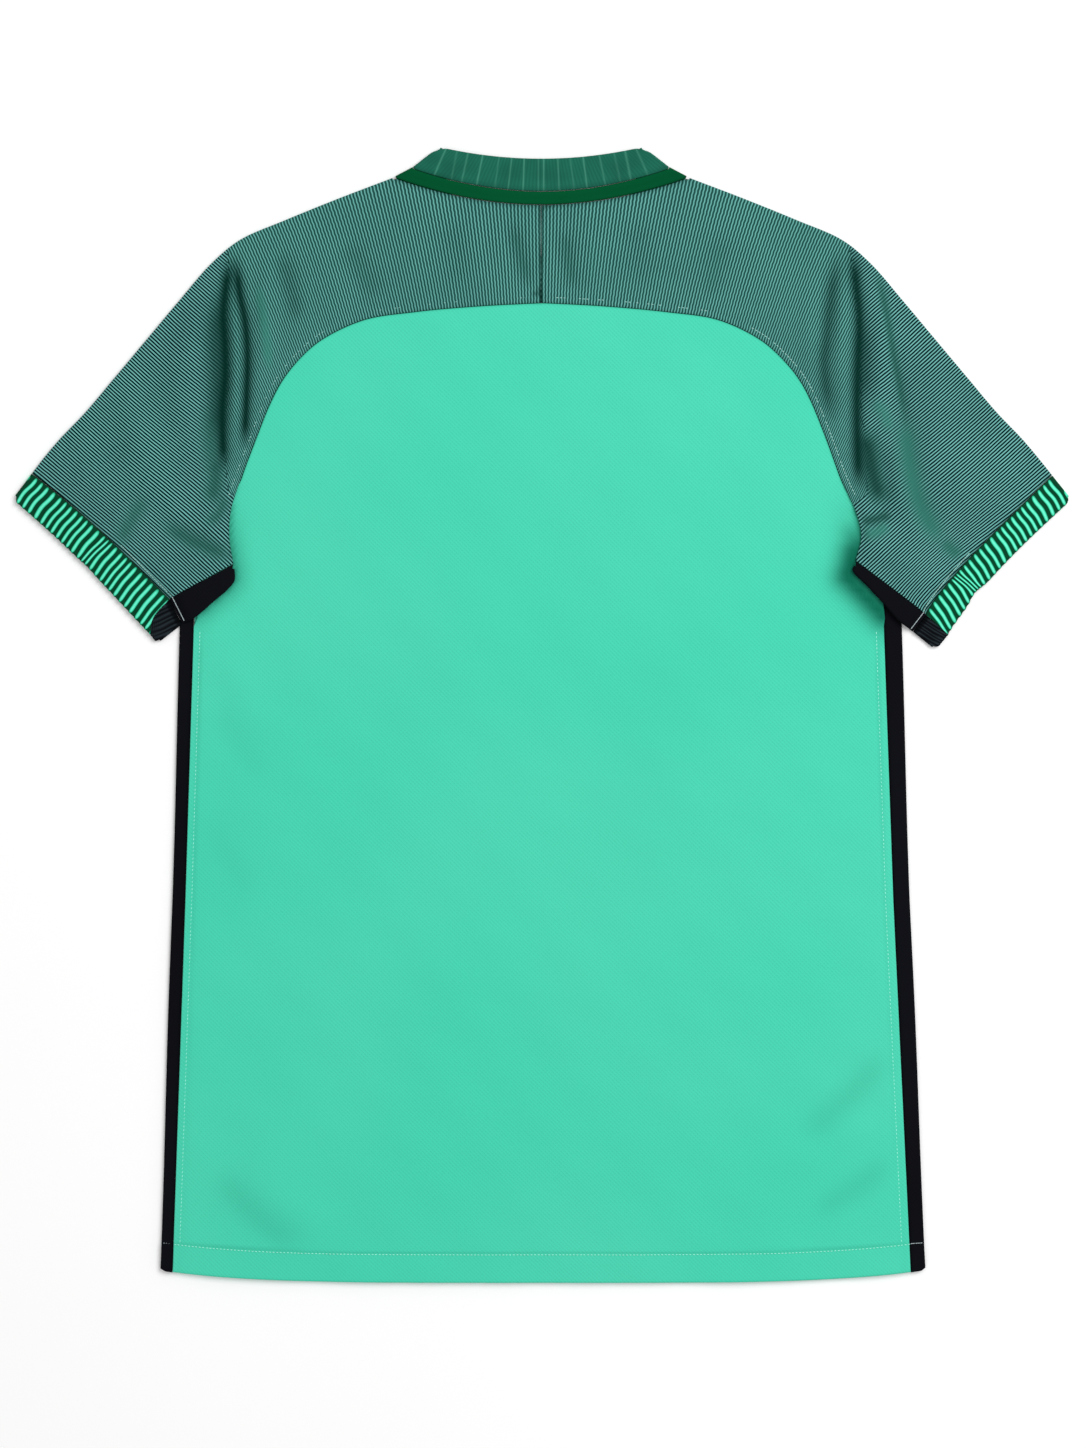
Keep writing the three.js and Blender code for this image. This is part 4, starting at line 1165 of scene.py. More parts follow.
@dataclass(frozen=True)
class FloorPaint(Knit):
    """The pale floor."""

    glow: float = 0.05
    broad_scale: float = 3.0
    grain_scale: float = 60.0
    relief: float = 0.0001

    def build(self) -> bpy.types.Material:
        """An even pale surface with a trace of tone.

        Returns:
            The material.
        """
        graph = Graph(self.name)
        tone = graph.mix(graph.noise(graph.place(), self.broad_scale, 1.0), self.colour, self.pale)
        graph.shader.inputs["Emission Color"].default_value = self.pale
        graph.shader.inputs["Emission Strength"].default_value = self.glow
        return graph.finish(tone, graph.noise(graph.place(), self.grain_scale, 1.0), self)


class Finish(Enum):
    """The jersey's finishes."""

    MINT = Knit("mint knit", srgb(71, 210, 176), srgb(0, 96, 73), srgb(84, 213, 180))
    PINSTRIPE = Pinstripe(
        "pinstripe knit", srgb(0, 30, 33), srgb(0, 40, 34), srgb(113, 184, 177),
        sheen=0.0, specular=0.04, yoke_tone_and_painted_glow=srgb(54, 124, 110)
    )
    BLACK = Knit("black knit", srgb(12, 12, 17), srgb(1, 1, 2), srgb(17, 18, 24), sheen=0.0, specular=0.03)
    CUFF = CuffRib("cuff rib", srgb(40, 196, 146), srgb(0, 60, 36), srgb(106, 240, 204))
    BLACK_RIB = FineRib(
        "black rib", srgb(17, 20, 25), srgb(2, 3, 5), srgb(60, 76, 82),
        sheen=0.0, specular=0.04, rib_contrast=0.5
    )
    COLLAR = FineRib("collar rib", srgb(28, 104, 84), srgb(12, 74, 57), srgb(88, 166, 142))
    TAPE = Knit(
        "tape", srgb(0, 80, 44), srgb(0, 38, 20), srgb(0, 88, 48), sheen=0.0, specular=0.04,
        line_pitch=1.1, line_contrast=0.12
    )
    MINT_THREAD = Thread("mint thread", srgb(120, 238, 210), srgb(0, 0, 0), srgb(190, 252, 238))
    PALE_THREAD = Thread("pale thread", srgb(128, 184, 174), srgb(0, 0, 0), srgb(184, 226, 218))
    WHITE_THREAD = Thread("white thread", srgb(150, 168, 172), srgb(0, 0, 0), srgb(208, 220, 222))
    FLOOR = FloorPaint(
        "floor", srgb(247, 247, 247), srgb(0, 0, 0), srgb(250, 250, 250), roughness=0.9, sheen=0.0
    )


class Wardrobe:
    """Builds each finish once."""

    def __init__(self) -> None:
        """Starts with nothing built."""
        self.made: dict[Finish, bpy.types.Material] = {}

    def get(self, finish: Finish) -> bpy.types.Material:
        """The finish's material.

        Args:
            finish: The finish.

        Returns:
            The material, built once.
        """
        if finish not in self.made:
            self.made[finish] = finish.value.build()
        return self.made[finish]


@dataclass
class StitchRun:
    """A row of sewn stitches along a plan line."""

    name: str
    path: Array
    finish: Finish
    pitch: float = 2.6
    length: float = 1.75
    radius: float = 0.3
    sink: float = 0.02
    scatter: float = 0.08
    skip: float = 0.0
    seed: int = 3
    ring: int = 6
    profile: tuple[tuple[float, float, float], ...] = (
        (-0.5, 0.5, 0.22), (-0.25, 0.95, 0.03), (0.25, 0.95, 0.03), (0.5, 0.5, 0.22),
    )

    def build(self, surface: Surface, wardrobe: Wardrobe) -> bpy.types.Object:
        """Lays the stitches on the cloth.

        Args:
            surface: Height of the cloth's top over plan points.
            wardrobe: Where the thread's finish comes from.

        Returns:
            One object with every stitch of the row.
        """
        random = np.random.default_rng(self.seed)
        steps = np.linalg.norm(np.diff(self.path, axis=0), axis=1)
        far = np.concatenate([[0], np.cumsum(steps)])
        spots = np.arange(self.pitch / 2, far[-1], self.pitch)
        spots = spots + random.normal(0, self.scatter, len(spots))
        spots = spots[random.random(len(spots)) >= self.skip]
        x, y = self.path[:, 0], self.path[:, 1]
        centre, ahead, behind = (
            plan(np.interp(at, far, x), np.interp(at, far, y)) for at in (spots, spots + 0.5, spots - 0.5)
        )
        way = unit(ahead - behind)
        across = np.stack([-way[:, 1], way[:, 0]], -1)
        angle = np.arange(self.ring) / self.ring * 2 * math.pi
        rings = []
        for along, thick, drop in self.profile:
            middle = centre + way * (along * self.length)
            height = surface(middle) + self.radius * 0.5 - self.sink - drop
            flat = middle[:, None] + across[:, None] * (np.cos(angle) * self.radius * thick)[None, :, None]
            rings.append(lift(flat, height[:, None] + np.sin(angle)[None] * self.radius * thick))
        vertices = np.stack(rings, 1).reshape(-1, 3)
        faces = []
        last = len(self.profile) - 1
        for start in range(0, len(vertices), len(self.profile) * self.ring):
            for level in range(last):
                for n in range(self.ring):
                    a, b = start + level * self.ring + n, start + level * self.ring + (n + 1) % self.ring
                    faces.append((a, b, b + self.ring, a + self.ring))
            faces.append(tuple(range(start, start + self.ring))[::-1])
            faces.append(tuple(range(start + last * self.ring, start + (last + 1) * self.ring)))
        return make_object(self.name, vertices, faces, wardrobe.get(self.finish))


@dataclass
class ClothPiece:
    """What every cut piece of the jersey shares."""

    lay: Lay
    wardrobe: Wardrobe
    name: str = ""
    node: str = ""
    slot: str = ""
    finish: Finish = Finish.MINT
    cut: tuple[float, float] = (0.1, 0.1)
    rests_on: tuple[str, ...] = ()

    def declare(
        self, piece: bpy.types.Object, wall: Wall, with_pieces: list[bpy.types.Object] | None = None
    ) -> None:
        """Hides the model's part that the piece stands for, and logs its triangles and area.

        Args:
            piece: The dressed piece.
            wall: Its shape.
            with_pieces: Not used.
        """
        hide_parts(self.node)
        round(wall.area(), 5)
        faces = sum(len(p.vertices) - 2 for p in piece.data.polygons)
        LOG.info("%s: %d triangles, %.4f square metres", piece.name, faces, wall.area())


@dataclass
class BodyPanels(ClothPiece):
    """The plain back panel with its turned hem, and the front panel under it."""

    inset: float = SEAM_GAP / 2
    stitch_depth: float = 19.4
    left_inset: float = 4.5
    right_inset: float = 5.5
    pucker_height: float = 0.13
    pucker_pitch: float = 2.9
    low_rows: int = 130
    high_rows: int = 66
    columns: int = 146
    hem_part: float = 2 / 17
    lap_part: float = 3 / 11

    def hem_y(self, x: Array) -> Array:
        """Height of the hem's edge, which rises to the sides."""
        return HEM_Y + HEM_RISE * np.abs((x - AXIS_X) / HEM_HALF_WIDTH) ** HEM_ROUNDNESS

    def row_y(self, part: Array) -> Array:
        """Height of a row below the armpit.

        Args:
            part: Share of the way up to the armpit.

        Returns:
            Height in the plan.
        """
        top = HEM_Y + HEM_RISE + HEM_DEPTH
        low = lerp(HEM_Y + HEM_RISE, top, part / self.hem_part)
        high = lerp(top, ARMPIT_Y, (part - self.hem_part) / (1 - self.hem_part))
        return np.where(part <= self.hem_part, low, high)

    def back_edge(self, side: Side, v: Array) -> Array:
        """Side edge of the back: the side seam to the armpit, then the raglan seam to the yoke.

        Args:
            side: Which side.
            v: Share of the way up.

        Returns:
            Plan points.
        """
        y = self.row_y(np.minimum(v * 2, 1))
        low = side.points(np.minimum(side.seam_u(y), ARMPIT_U + 20) - self.inset, y)
        row = np.maximum(v - 0.5, 0) * 2
        lap_start = side.back_seam(np.array(float(LAPPED_ROW)))
        up = np.minimum(row / self.lap_part, 1)
        lap = lerp(side.points(ARMPIT_U, ARMPIT_Y), lap_start, up[:, None])
        lap = lap + plan(side.out * LAP_BULGE * np.sin(math.pi * up), 0)
        above = np.clip((row - self.lap_part) / (1 - self.lap_part), 0, 1)
        seam = side.back_seam(lerp(LAPPED_ROW, YOKE_CORNER_ROW, above))
        high = np.where((row < self.lap_part)[:, None], lap, seam) - [side.out * self.inset, 0]
        return np.where((v <= 0.5)[:, None], low, high)

    def front_edge(self, side: Side, v: Array) -> Array:
        """Side edge of the front, up to the neck.

        Args:
            side: Side of the jersey.
            v: Share of the way up, half of it below the armpit.

        Returns:
            Plan points.
        """
        y = self.row_y(np.minimum(v * 2, 1))
        low = side.points(side.seam_u(y) - self.inset, y)
        row = np.maximum(v - 0.5, 0) * 2
        last = LAST_ROW - 1.0
        lap = lerp(side.points(ARMPIT_U, ARMPIT_Y), side.front_seam(np.array(last)), (row / 0.1)[:, None])
        seam = side.front_seam(lerp(last, NECK_ROWS, np.clip((row - 0.1) / 0.9, 0, 1)))
        high = np.where((row < 0.1)[:, None], lap, seam) - [side.out * SEAM_GAP, 0]
        return np.where((v <= 0.5)[:, None], low, high)

    def fill(self, start: Array, end: Array, top: Array, across: Array, up: Array) -> Array:
        """Plan grid between the hem, the two side edges and the top edge.

        Args:
            start: Plan points of the edge at across 0.
            end: Plan points of the edge at across 1.
            top: Plan points of the top edge.
            across: Shares across the panel.
            up: Shares up the panel.

        Returns:
            The grid of plan points.
        """
        x = lerp(start[0, 0], end[0, 0], across)
        bottom = plan(x, self.hem_y(x))
        v, h = up[:, None, None], across[None, :, None]
        sides = lerp(start[:, None], end[:, None], h)
        levels = lerp(bottom[None], top[None], v)
        corners = lerp(lerp(bottom[0], bottom[-1], h), lerp(top[0], top[-1], h), v)
        return sides + levels - corners

    def hem_raise(self, points: Array) -> Array:
        """The turned hem under the cloth, pulled down and puckered along its stitches.

        Args:
            points: Plan points.

        Returns:
            The rise at each in millimetres.
        """
        depth = points[..., 1] - self.hem_y(points[..., 0])
        x = points[..., 0]
        fold = HEM_FOLD * (1 - smooth(*HEM_TURN_END, depth)) * smooth(-0.5, 1.5, depth)
        pull = -STITCH_PULL * bell(depth - self.stitch_depth, STITCH_GROOVE)
        pucker = np.sin(x / self.pucker_pitch + 1.5 * np.sin(x / 37)) * (0.5 + 0.5 * np.sin(x / 23 + 2))
        reach = bell(depth - self.stitch_depth, 5) + 0.35 * bell(depth, 4)
        return fold + pull + self.pucker_height * pucker * reach

    def seam_pull(self, points: Array) -> Array:
        """Small pulls beside the side seams and the yoke seam.

        Args:
            points: Plan points.

        Returns:
            The rise at each in millimetres.
        """
        x, y = points[..., 0], points[..., 1]
        pull = np.zeros(points.shape[:-1])
        for side in SIDES:
            away = side.seam_u(y) - side.reach(points)
            low = 1 - smooth(*SIDE_ROW_END, y)
            pull += low * (-0.28 * bell(away - 5, 1.3))
            pull += low * 0.09 * np.sin(y / 2.4 + 1.2 * np.sin(y / 31)) * bell(away - 4, 4.5)
            seam = side.back_seam(np.linspace(0, GUSSET_ROW, 60))
            near, share = nearest(points, seam)
            pull += 0.08 * np.sin(share * 150) * bell(near, 5) * (x * side.out > 0)
        return pull

    def surface(self, points: Array) -> Array:
        """Top of the back panel's cloth."""
        return self.lay.height(points) + CLOTH / 2 + self.hem_raise(points) + self.seam_pull(points)

    def contact(self, points: Array) -> Array:
        """Shade on the panel under and beside the sleeves, and in the seams.

        Args:
            points: Plan points.

        Returns:
            The dark at each, from 0 to 1.
        """
        dark = self.lay.dark(points)
        for side in SIDES:
            away, _ = nearest(points, side.lap_line())
            cast, along = nearest(points, side.lap_line() + np.array(side.shade_shift))
            ends = smooth(-0.1, 0.3, along) * (1 - 0.4 * smooth(0.88, 1.0, along))
            beside = side.body_shade * bell(cast, side.shade_reach) * ends
            line = 0.5 * bell(away, 2.0) * (1 - smooth(135, 165, points[..., 1]))
            seam, _ = nearest(points, side.back_seam(np.linspace(0, LAPPED_ROW, 60)))
            groove = 0.3 * bell(seam, 0.9)
            inset = side.seam_u(points[..., 1]) - side.reach(points)
            row = 0.16 * bell(inset - 5, 1.2) * (1 - smooth(*SIDE_ROW_END, points[..., 1]))
            dark = 1 - (1 - dark) * (1 - beside) * (1 - line) * (1 - groove) * (1 - row)
        depth = points[..., 1] - self.hem_y(points[..., 0])
        hem = 0.2 * bell(depth - self.stitch_depth - 1.2, 0.9)
        return 1 - (1 - dark) * (1 - hem) * (1 - 0.2 * bell(depth, 1.2))

    def build(self) -> None:
        """Makes both panels and the stitches on the back."""
        left, right = SIDES
        hem_v = self.hem_part / 2
        up = np.concatenate([
            np.linspace(0, 0.5, self.low_rows + 1),
            np.linspace(0.5, 1, self.high_rows + 1)[1:],
            [0.0018, hem_v - 0.002, hem_v + 0.0022, 0.9982],
        ])
        up.sort()
        across = near_edge_steps(self.columns, 0.0016)
        start, end = self.back_edge(left, up), self.back_edge(right, up)
        share = np.abs(across - 0.5) * 2
        seams = np.where((across < 0.5)[:, None], left.back_seam(share * YOKE_CORNER_ROW),
                         right.back_seam(share * YOKE_CORNER_ROW))
        top = seams - plan(0 * share, self.inset * (1 + 0.4 * share))
        top[0], top[-1] = start[-1], end[-1]
        grid = self.fill(start, end, top, across, up)
        wall = Wall(lift(grid, self.lay.height(grid)), raised=self.hem_raise(grid) + self.seam_pull(grid))
        back = wall_object("back_panel", wall, self.wardrobe.get(Finish.MINT), {"shade": self.contact(grid)})
        stitches = [run.build(self.surface, self.wardrobe) for run in self.stitch_runs()]
        self.declare(back, wall, stitches)
        self.build_front()

    def stitch_runs(self) -> list[StitchRun]:
        """The hem's row and a row beside each side seam.

        Returns:
            The three rows.
        """
        left, right = SIDES
        y = np.linspace(HEM_Y + HEM_RISE + HEM_DEPTH, SIDE_TOP_Y, 60)
        hem_x = np.linspace(AXIS_X - left.seam_u(HEM_Y) + 1, AXIS_X + right.seam_u(HEM_Y) - 1, 200)
        hem = plan(hem_x, self.hem_y(hem_x) + self.stitch_depth)
        left_row = left.points(left.seam_u(y) - self.left_inset, y)
        right_row = right.points(right.seam_u(y) - self.right_inset, y)
        return [
            StitchRun("hem_stitches", hem, Finish.MINT_THREAD, pitch=2.4, length=1.5),
            StitchRun("left_side_stitches", left_row, Finish.MINT_THREAD, seed=5),
            StitchRun("right_side_stitches", right_row, Finish.MINT_THREAD, seed=6),
        ]

    def build_front(self) -> None:
        """Makes the front panel, flat on the surface."""
        left, right = SIDES
        up = np.concatenate([np.linspace(0, 0.5, 41), np.linspace(0.5, 1, 41)[1:], [0.0018, 0.9982]])
        up.sort()
        across = near_edge_steps(48, 0.0016)
        start, end = self.front_edge(left, up), self.front_edge(right, up)
        turn = math.pi - FRONT_SEAM_ANGLE
        top = FRONT_NECKLINE.front(np.cos(lerp(turn, FRONT_SEAM_ANGLE, across)))
        top[0], top[-1] = start[-1], end[-1]
        grid = self.fill(start, end, top, across, up)
        wall = Wall(lift(grid, REST_HEIGHT))
        front = wall_object("front_panel", wall, self.wardrobe.get(Finish.MINT), {"shade": 0 * grid[..., 0]})
        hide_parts("front_body")
        round(wall.area(), 5)
        LOG.info("front_panel: %.4f square metres", wall.area())


@dataclass
class Sleeve(ClothPiece):
    """A raglan sleeve with its half of the back yoke."""

    side: Side = SIDES[0]
    stations: int = 12
    back_columns: int = 58
    front_columns: int = 16
    stitch_inset: float = 4.0
    cuff_inset: float = 2.5
    yoke_run_end: int = 40
    raglan_run_start: int = 52

    def height(self, points: Array) -> Array:
        """Middle of the sleeve's upper cloth, rolled down onto the body along the lap.

        Args:
            points: Plan points.

        Returns:
            The height at each in millimetres.
        """
        side = self.side
        rise = side.lobe_rise(points)
        seam, _ = nearest(points, side.back_seam(np.linspace(7, GUSSET_ROW, 50)))
        tip_y = side.lobe[-2][1]
        rolled = (1 - smooth(0, LOBE_ROLL, seam)) * smooth(tip_y - 4, tip_y, points[..., 1])
        return self.lay.height(points) + rise - rolled * 2 * FOLD_RADIUS * rise / LOBE_RISE

    def seam_pull(self, points: Array) -> Array:
        """Small pulls along the yoke seam, raglan seam, centre back and cuff.

        Args:
            points: Plan points.

        Returns:
            The rise at each in millimetres.
        """
        side = self.side
        seam, share = nearest(points, side.back_seam(np.linspace(0, LAPPED_ROW + 1, 60)))
        pull = -STITCH_PULL * bell(seam - self.stitch_inset, STITCH_GROOVE)
        pull += 0.12 * np.sin(share * 170) * bell(seam, 6)
        cuff, share = nearest(points, side.chain((side.cuff_crest_seam, side.cuff_seam)))
        pull += 0.25 * np.sin(share * 90 + 2 * np.sin(share * 11)) * bell(cuff, 9)
        centre = np.abs(points[..., 0] - AXIS_X)
        return pull + 0.12 * np.sin(points[..., 1] / 1.9) * bell(centre, 4)

    def surface(self, points: Array) -> Array:
        """Top of the sleeve's upper cloth."""
        return self.height(points) + CLOTH / 2 + self.seam_pull(points)

    def end_shift(self, row: Array) -> Array:
        """Keeps the two ends half a gap from the centre back seam and from the cuff.

        Args:
            row: Rows of the sleeve.

        Returns:
            The shift of each row in the plan.
        """
        side = self.side
        first = np.where((row == 0)[:, None], [[side.out * SEAM_GAP / 2, 0]], 0.0)
        last = unit(np.array([-side.out, 1.0])) * SEAM_GAP / 2
        return first + np.where((row == LAST_ROW)[:, None], last[None], 0.0)

    def neck_bow(self, row: Array, q: Array) -> Array:
        """Bends the first rows of the sleeve's front to the round of the front neckline.

        Args:
            row: Rows of the sleeve.
            q: Shares of the way from the fold to the front seam.

        Returns:
            The shift of each point in the plan.
        """
        side = self.side
        fade = np.where(row < NECK_ROWS, 0, np.maximum(0, 1 - (row - NECK_ROWS) / 4))
        arc = FRONT_NECKLINE.front(side.out * np.cos(q * FRONT_SEAM_ANGLE))
        ends = FRONT_NECKLINE.front(np.array([side.out * 1.0, side.out * math.cos(FRONT_SEAM_ANGLE)]))
        straight = lerp(ends[0], ends[1], q[:, None])
        return (arc - straight)[None] * (fade**2)[:, None, None]

    def grid(self) -> tuple[Array, Array]:
        """Middle points of the cloth, from the back seam over the crest to the front seam.

        Returns:
            The grid, and the cells that are cloth.
        """
        side = self.side
        row = near_edge_steps(LAST_ROW * self.stations, 0.0016) * LAST_ROW
        crest = side.top(row)
        seam = side.back_seam(row)
        folded = (row >= NECK_ROWS)[:, None]
        before, after = (side.top(np.clip(row + step, NECK_ROWS, LAST_ROW)) for step in (-0.1, 0.1))
        outward = np.where(folded, away_from(before, after, seam), 0.0)
        shift = self.end_shift(row)
        centre = crest - outward * EDGE_INSET + shift
        seam_point = seam + shift + [side.out * SEAM_GAP / 2, 0]
        q = near_edge_steps(self.back_columns, 0.008)
        eased = lerp(q * q, q, 0.75)[None, :, None]
        back = lerp(seam_point[:, None], centre[:, None], eased)
        height = self.height(back)
        height[:, -1] = np.where(folded[:, 0], EDGE_HEIGHT, height[:, -1])
        bend = round_fold(centre, outward, np.full(len(row), EDGE_HEIGHT), np.full(len(row), REST_HEIGHT))
        front_seam = side.front_seam(np.maximum(row, NECK_ROWS)) + shift
        p = np.linspace(0, 1, self.front_columns + 1)
        below = lerp(centre[:, None], front_seam[:, None], p[None, :, None]) + self.neck_bow(row, p)
        grid = np.concatenate([lift(back, height), bend, lift(below, REST_HEIGHT)], 1)
        cells = np.ones((len(row), grid.shape[1] - 1), bool)
        cells[: int(np.argmax(row >= NECK_ROWS)), len(q) - 1 :] = False
        return grid, cells

    def grains(self, points: Array) -> dict[str, Array]:
        """Where each point lies across the yoke's lines and across the sleeve's lines.

        Args:
            points: Plan points.

        Returns:
            The places, under the names that the finish reads.
        """
        u, y = self.side.reach(points), points[..., 1]
        yoke = u * np.exp(-YOKE_FAN * (y - YOKE_UPRIGHT_Y))
        sleeve = y * math.cos(SLEEVE_STRIPE_ANGLE) - u * math.sin(SLEEVE_STRIPE_ANGLE)
        bend = 0.9 * np.sin(u / 30 + y / 41) + 0.5 * np.sin(y / 19 - u / 60)
        return {
            "yoke_grain": np.stack([yoke + 0.5 * bend, y], -1),
            "sleeve_grain": np.stack([sleeve + bend, u], -1),
        }

    def shade(self, points: Array) -> Array:
        """Dark in the creases, beside the seams and under the rolled edge.

        Args:
            points: Plan points.

        Returns:
            The dark at each, from 0 to 1.
        """
        side = self.side
        dark = self.lay.dark(points)
        seam, _ = nearest(points, side.back_seam(np.linspace(0, GUSSET_ROW, 70)))
        cuff, _ = nearest(points, side.chain((side.cuff_crest_seam, side.cuff_seam)))
        tape, _ = nearest(points, TAPE_SEAM.back(np.linspace(-1, 1, 40)))
        centre = np.abs(points[..., 0] - AXIS_X)
        ragged = 0.75 + 0.25 * np.sin(points[..., 1] / 5 + 2.2)
        parts = ((seam, 0.3, 1.0), (cuff, 0.6, 1.5), (tape, 0.5, 2.0), (centre, 0.7 * ragged, 1.0))
        for away, depth, width in parts:
            dark = 1 - (1 - dark) * (1 - depth * bell(away, width))
        return dark

    def build(self) -> None:
        """Makes the sleeve and its topstitching."""
        side = self.side
        grid, cells = self.grid()
        points = grid[..., :2]
        raised = self.seam_pull(points) * (grid[..., 2] >= EDGE_HEIGHT - 0.4)
        wall = Wall(grid, raised=raised, has=cells)
        turn = np.array(side.stripe_turn[::-1], float)
        share = smooth(-2.5, 2.5, side.reach(points) - np.interp(points[..., 1], turn[:, 0], turn[:, 1]))
        # even carries the painted glow along the creases
        shades = {"shade": self.shade(points), "arm_share": share, "even": self.lay.even(points)}
        wall.grid = np.concatenate([side.bowed(points), grid[..., 2:]], -1)
        piece = wall_object(self.name, wall, self.wardrobe.get(self.finish), shades, self.grains(points))
        self.declare(piece, wall, [run.build(self.surface, self.wardrobe) for run in self.stitch_runs()])

    def stitch_runs(self) -> list[StitchRun]:
        """Topstitching along the yoke and raglan seam, and beside the cuff.

        Returns:
            The three rows.
        """
        side = self.side
        seam = side.back_seam(np.linspace(0.15, LAPPED_ROW + 0.6, 140))
        normal = away_from(seam[:-1], seam[1:], side.points(0, 150))
        near_yoke = (seam[:-1] + normal * self.stitch_inset)[:self.yoke_run_end]
        raglan = (seam[:-1] + normal * self.stitch_inset)[self.raglan_run_start:]
        cuff = side.chain((side.cuff_seam, side.cuff_crest_seam))
        inward = away_from(cuff[:1], cuff[1:], side.chain((side.cuff_edge,)))
        low_cuff = side.bowed(lerp(cuff[:1], cuff[1:], np.linspace(0.0, 0.4, 30)[:, None]))
        low_cuff += inward * self.cuff_inset
        name, thread = side.name, Finish.PALE_THREAD
        return [
            StitchRun(f"{name}_yoke_stitches", near_yoke, thread, skip=0.45, seed=11, radius=0.26),
            StitchRun(f"{name}_raglan_stitches", raglan, thread, skip=0.12, seed=12),
            StitchRun(f"{name}_cuff_stitches", low_cuff, thread, pitch=1.9, length=1.8, seed=13),
        ]


@dataclass
class Gusset(ClothPiece):
    """The black underarm piece, rolled over the body."""

    side: Side = SIDES[0]
    rows: int = 44
    columns: int = 20

    def height(self, points: Array) -> Array:
        """Middle of the gusset's upper cloth."""
        return self.lay.height(points) + self.side.lobe_rise(points)

    def surface(self, points: Array) -> Array:
        """Top of the gusset's cloth."""
        return self.height(points) + CLOTH / 2

    def build(self) -> None:
        """Makes the gusset and the white stitches along the cuff."""
        side = self.side
        heel = side.points(*side.heel_seam)
        cuff_seam, cuff_edge = side.points(*side.cuff_seam), side.points(*side.cuff_edge)
        fold = Curve(side.chain(side.fold + (side.heel_seam,)))
        from_cuff = away_from(heel, cuff_seam, cuff_edge)
        part = near_edge_steps(self.rows, 0.015)
        shift = from_cuff * (SEAM_GAP * 0.3 * part**4)[:, None]
        seam = side.back_seam(lerp(GUSSET_ROW, LAST_ROW, part)) + shift
        edge = fold.at(part) + shift
        outward = away_from(fold.at(np.maximum(part - 0.02, 0)), fold.at(np.minimum(part + 0.02, 1)), seam)
        centre = edge - outward * EDGE_INSET
        wide = np.linalg.norm(centre - seam, axis=1)[:, None]
        start = lerp(seam, centre, SEAM_GAP / np.maximum(wide, 1))
        q = near_edge_steps(self.columns, 0.04)[None, :, None]
        back = lerp(start[:, None], centre[:, None], q)
        top = self.height(centre)
        bend = round_fold(centre, outward, top, top - 2 * FOLD_RADIUS)
        leg = np.minimum(RETURN_LEG, 0.55 * wide)[:, None]
        below = centre[:, None] - outward[:, None] * leg * np.linspace(0, 1, 5)[None, :, None]
        low = lift(below, self.height(below) - 2 * FOLD_RADIUS)
        grid = np.concatenate([lift(back, self.height(back)), bend, low], 1)
        ripple = 0.12 * np.sin(grid[..., 0] / 3 + grid[..., 1] / 5)
        wall = Wall(grid, raised=np.maximum(ripple, 0))
        piece = wall_object(self.name, wall, self.wardrobe.get(self.finish), {"shade": 0 * grid[..., 0]})
        line = lerp(cuff_seam[None], heel[None], np.linspace(-0.02, 0.96, 12)[:, None]) + from_cuff * 2.4
        run = StitchRun(f"{side.name}_heel_stitches", line, Finish.WHITE_THREAD, pitch=1.4, length=1.7,
                        radius=0.3, sink=-0.12, seed=21)
        self.declare(piece, wall, [run.build(self.surface, self.wardrobe)])


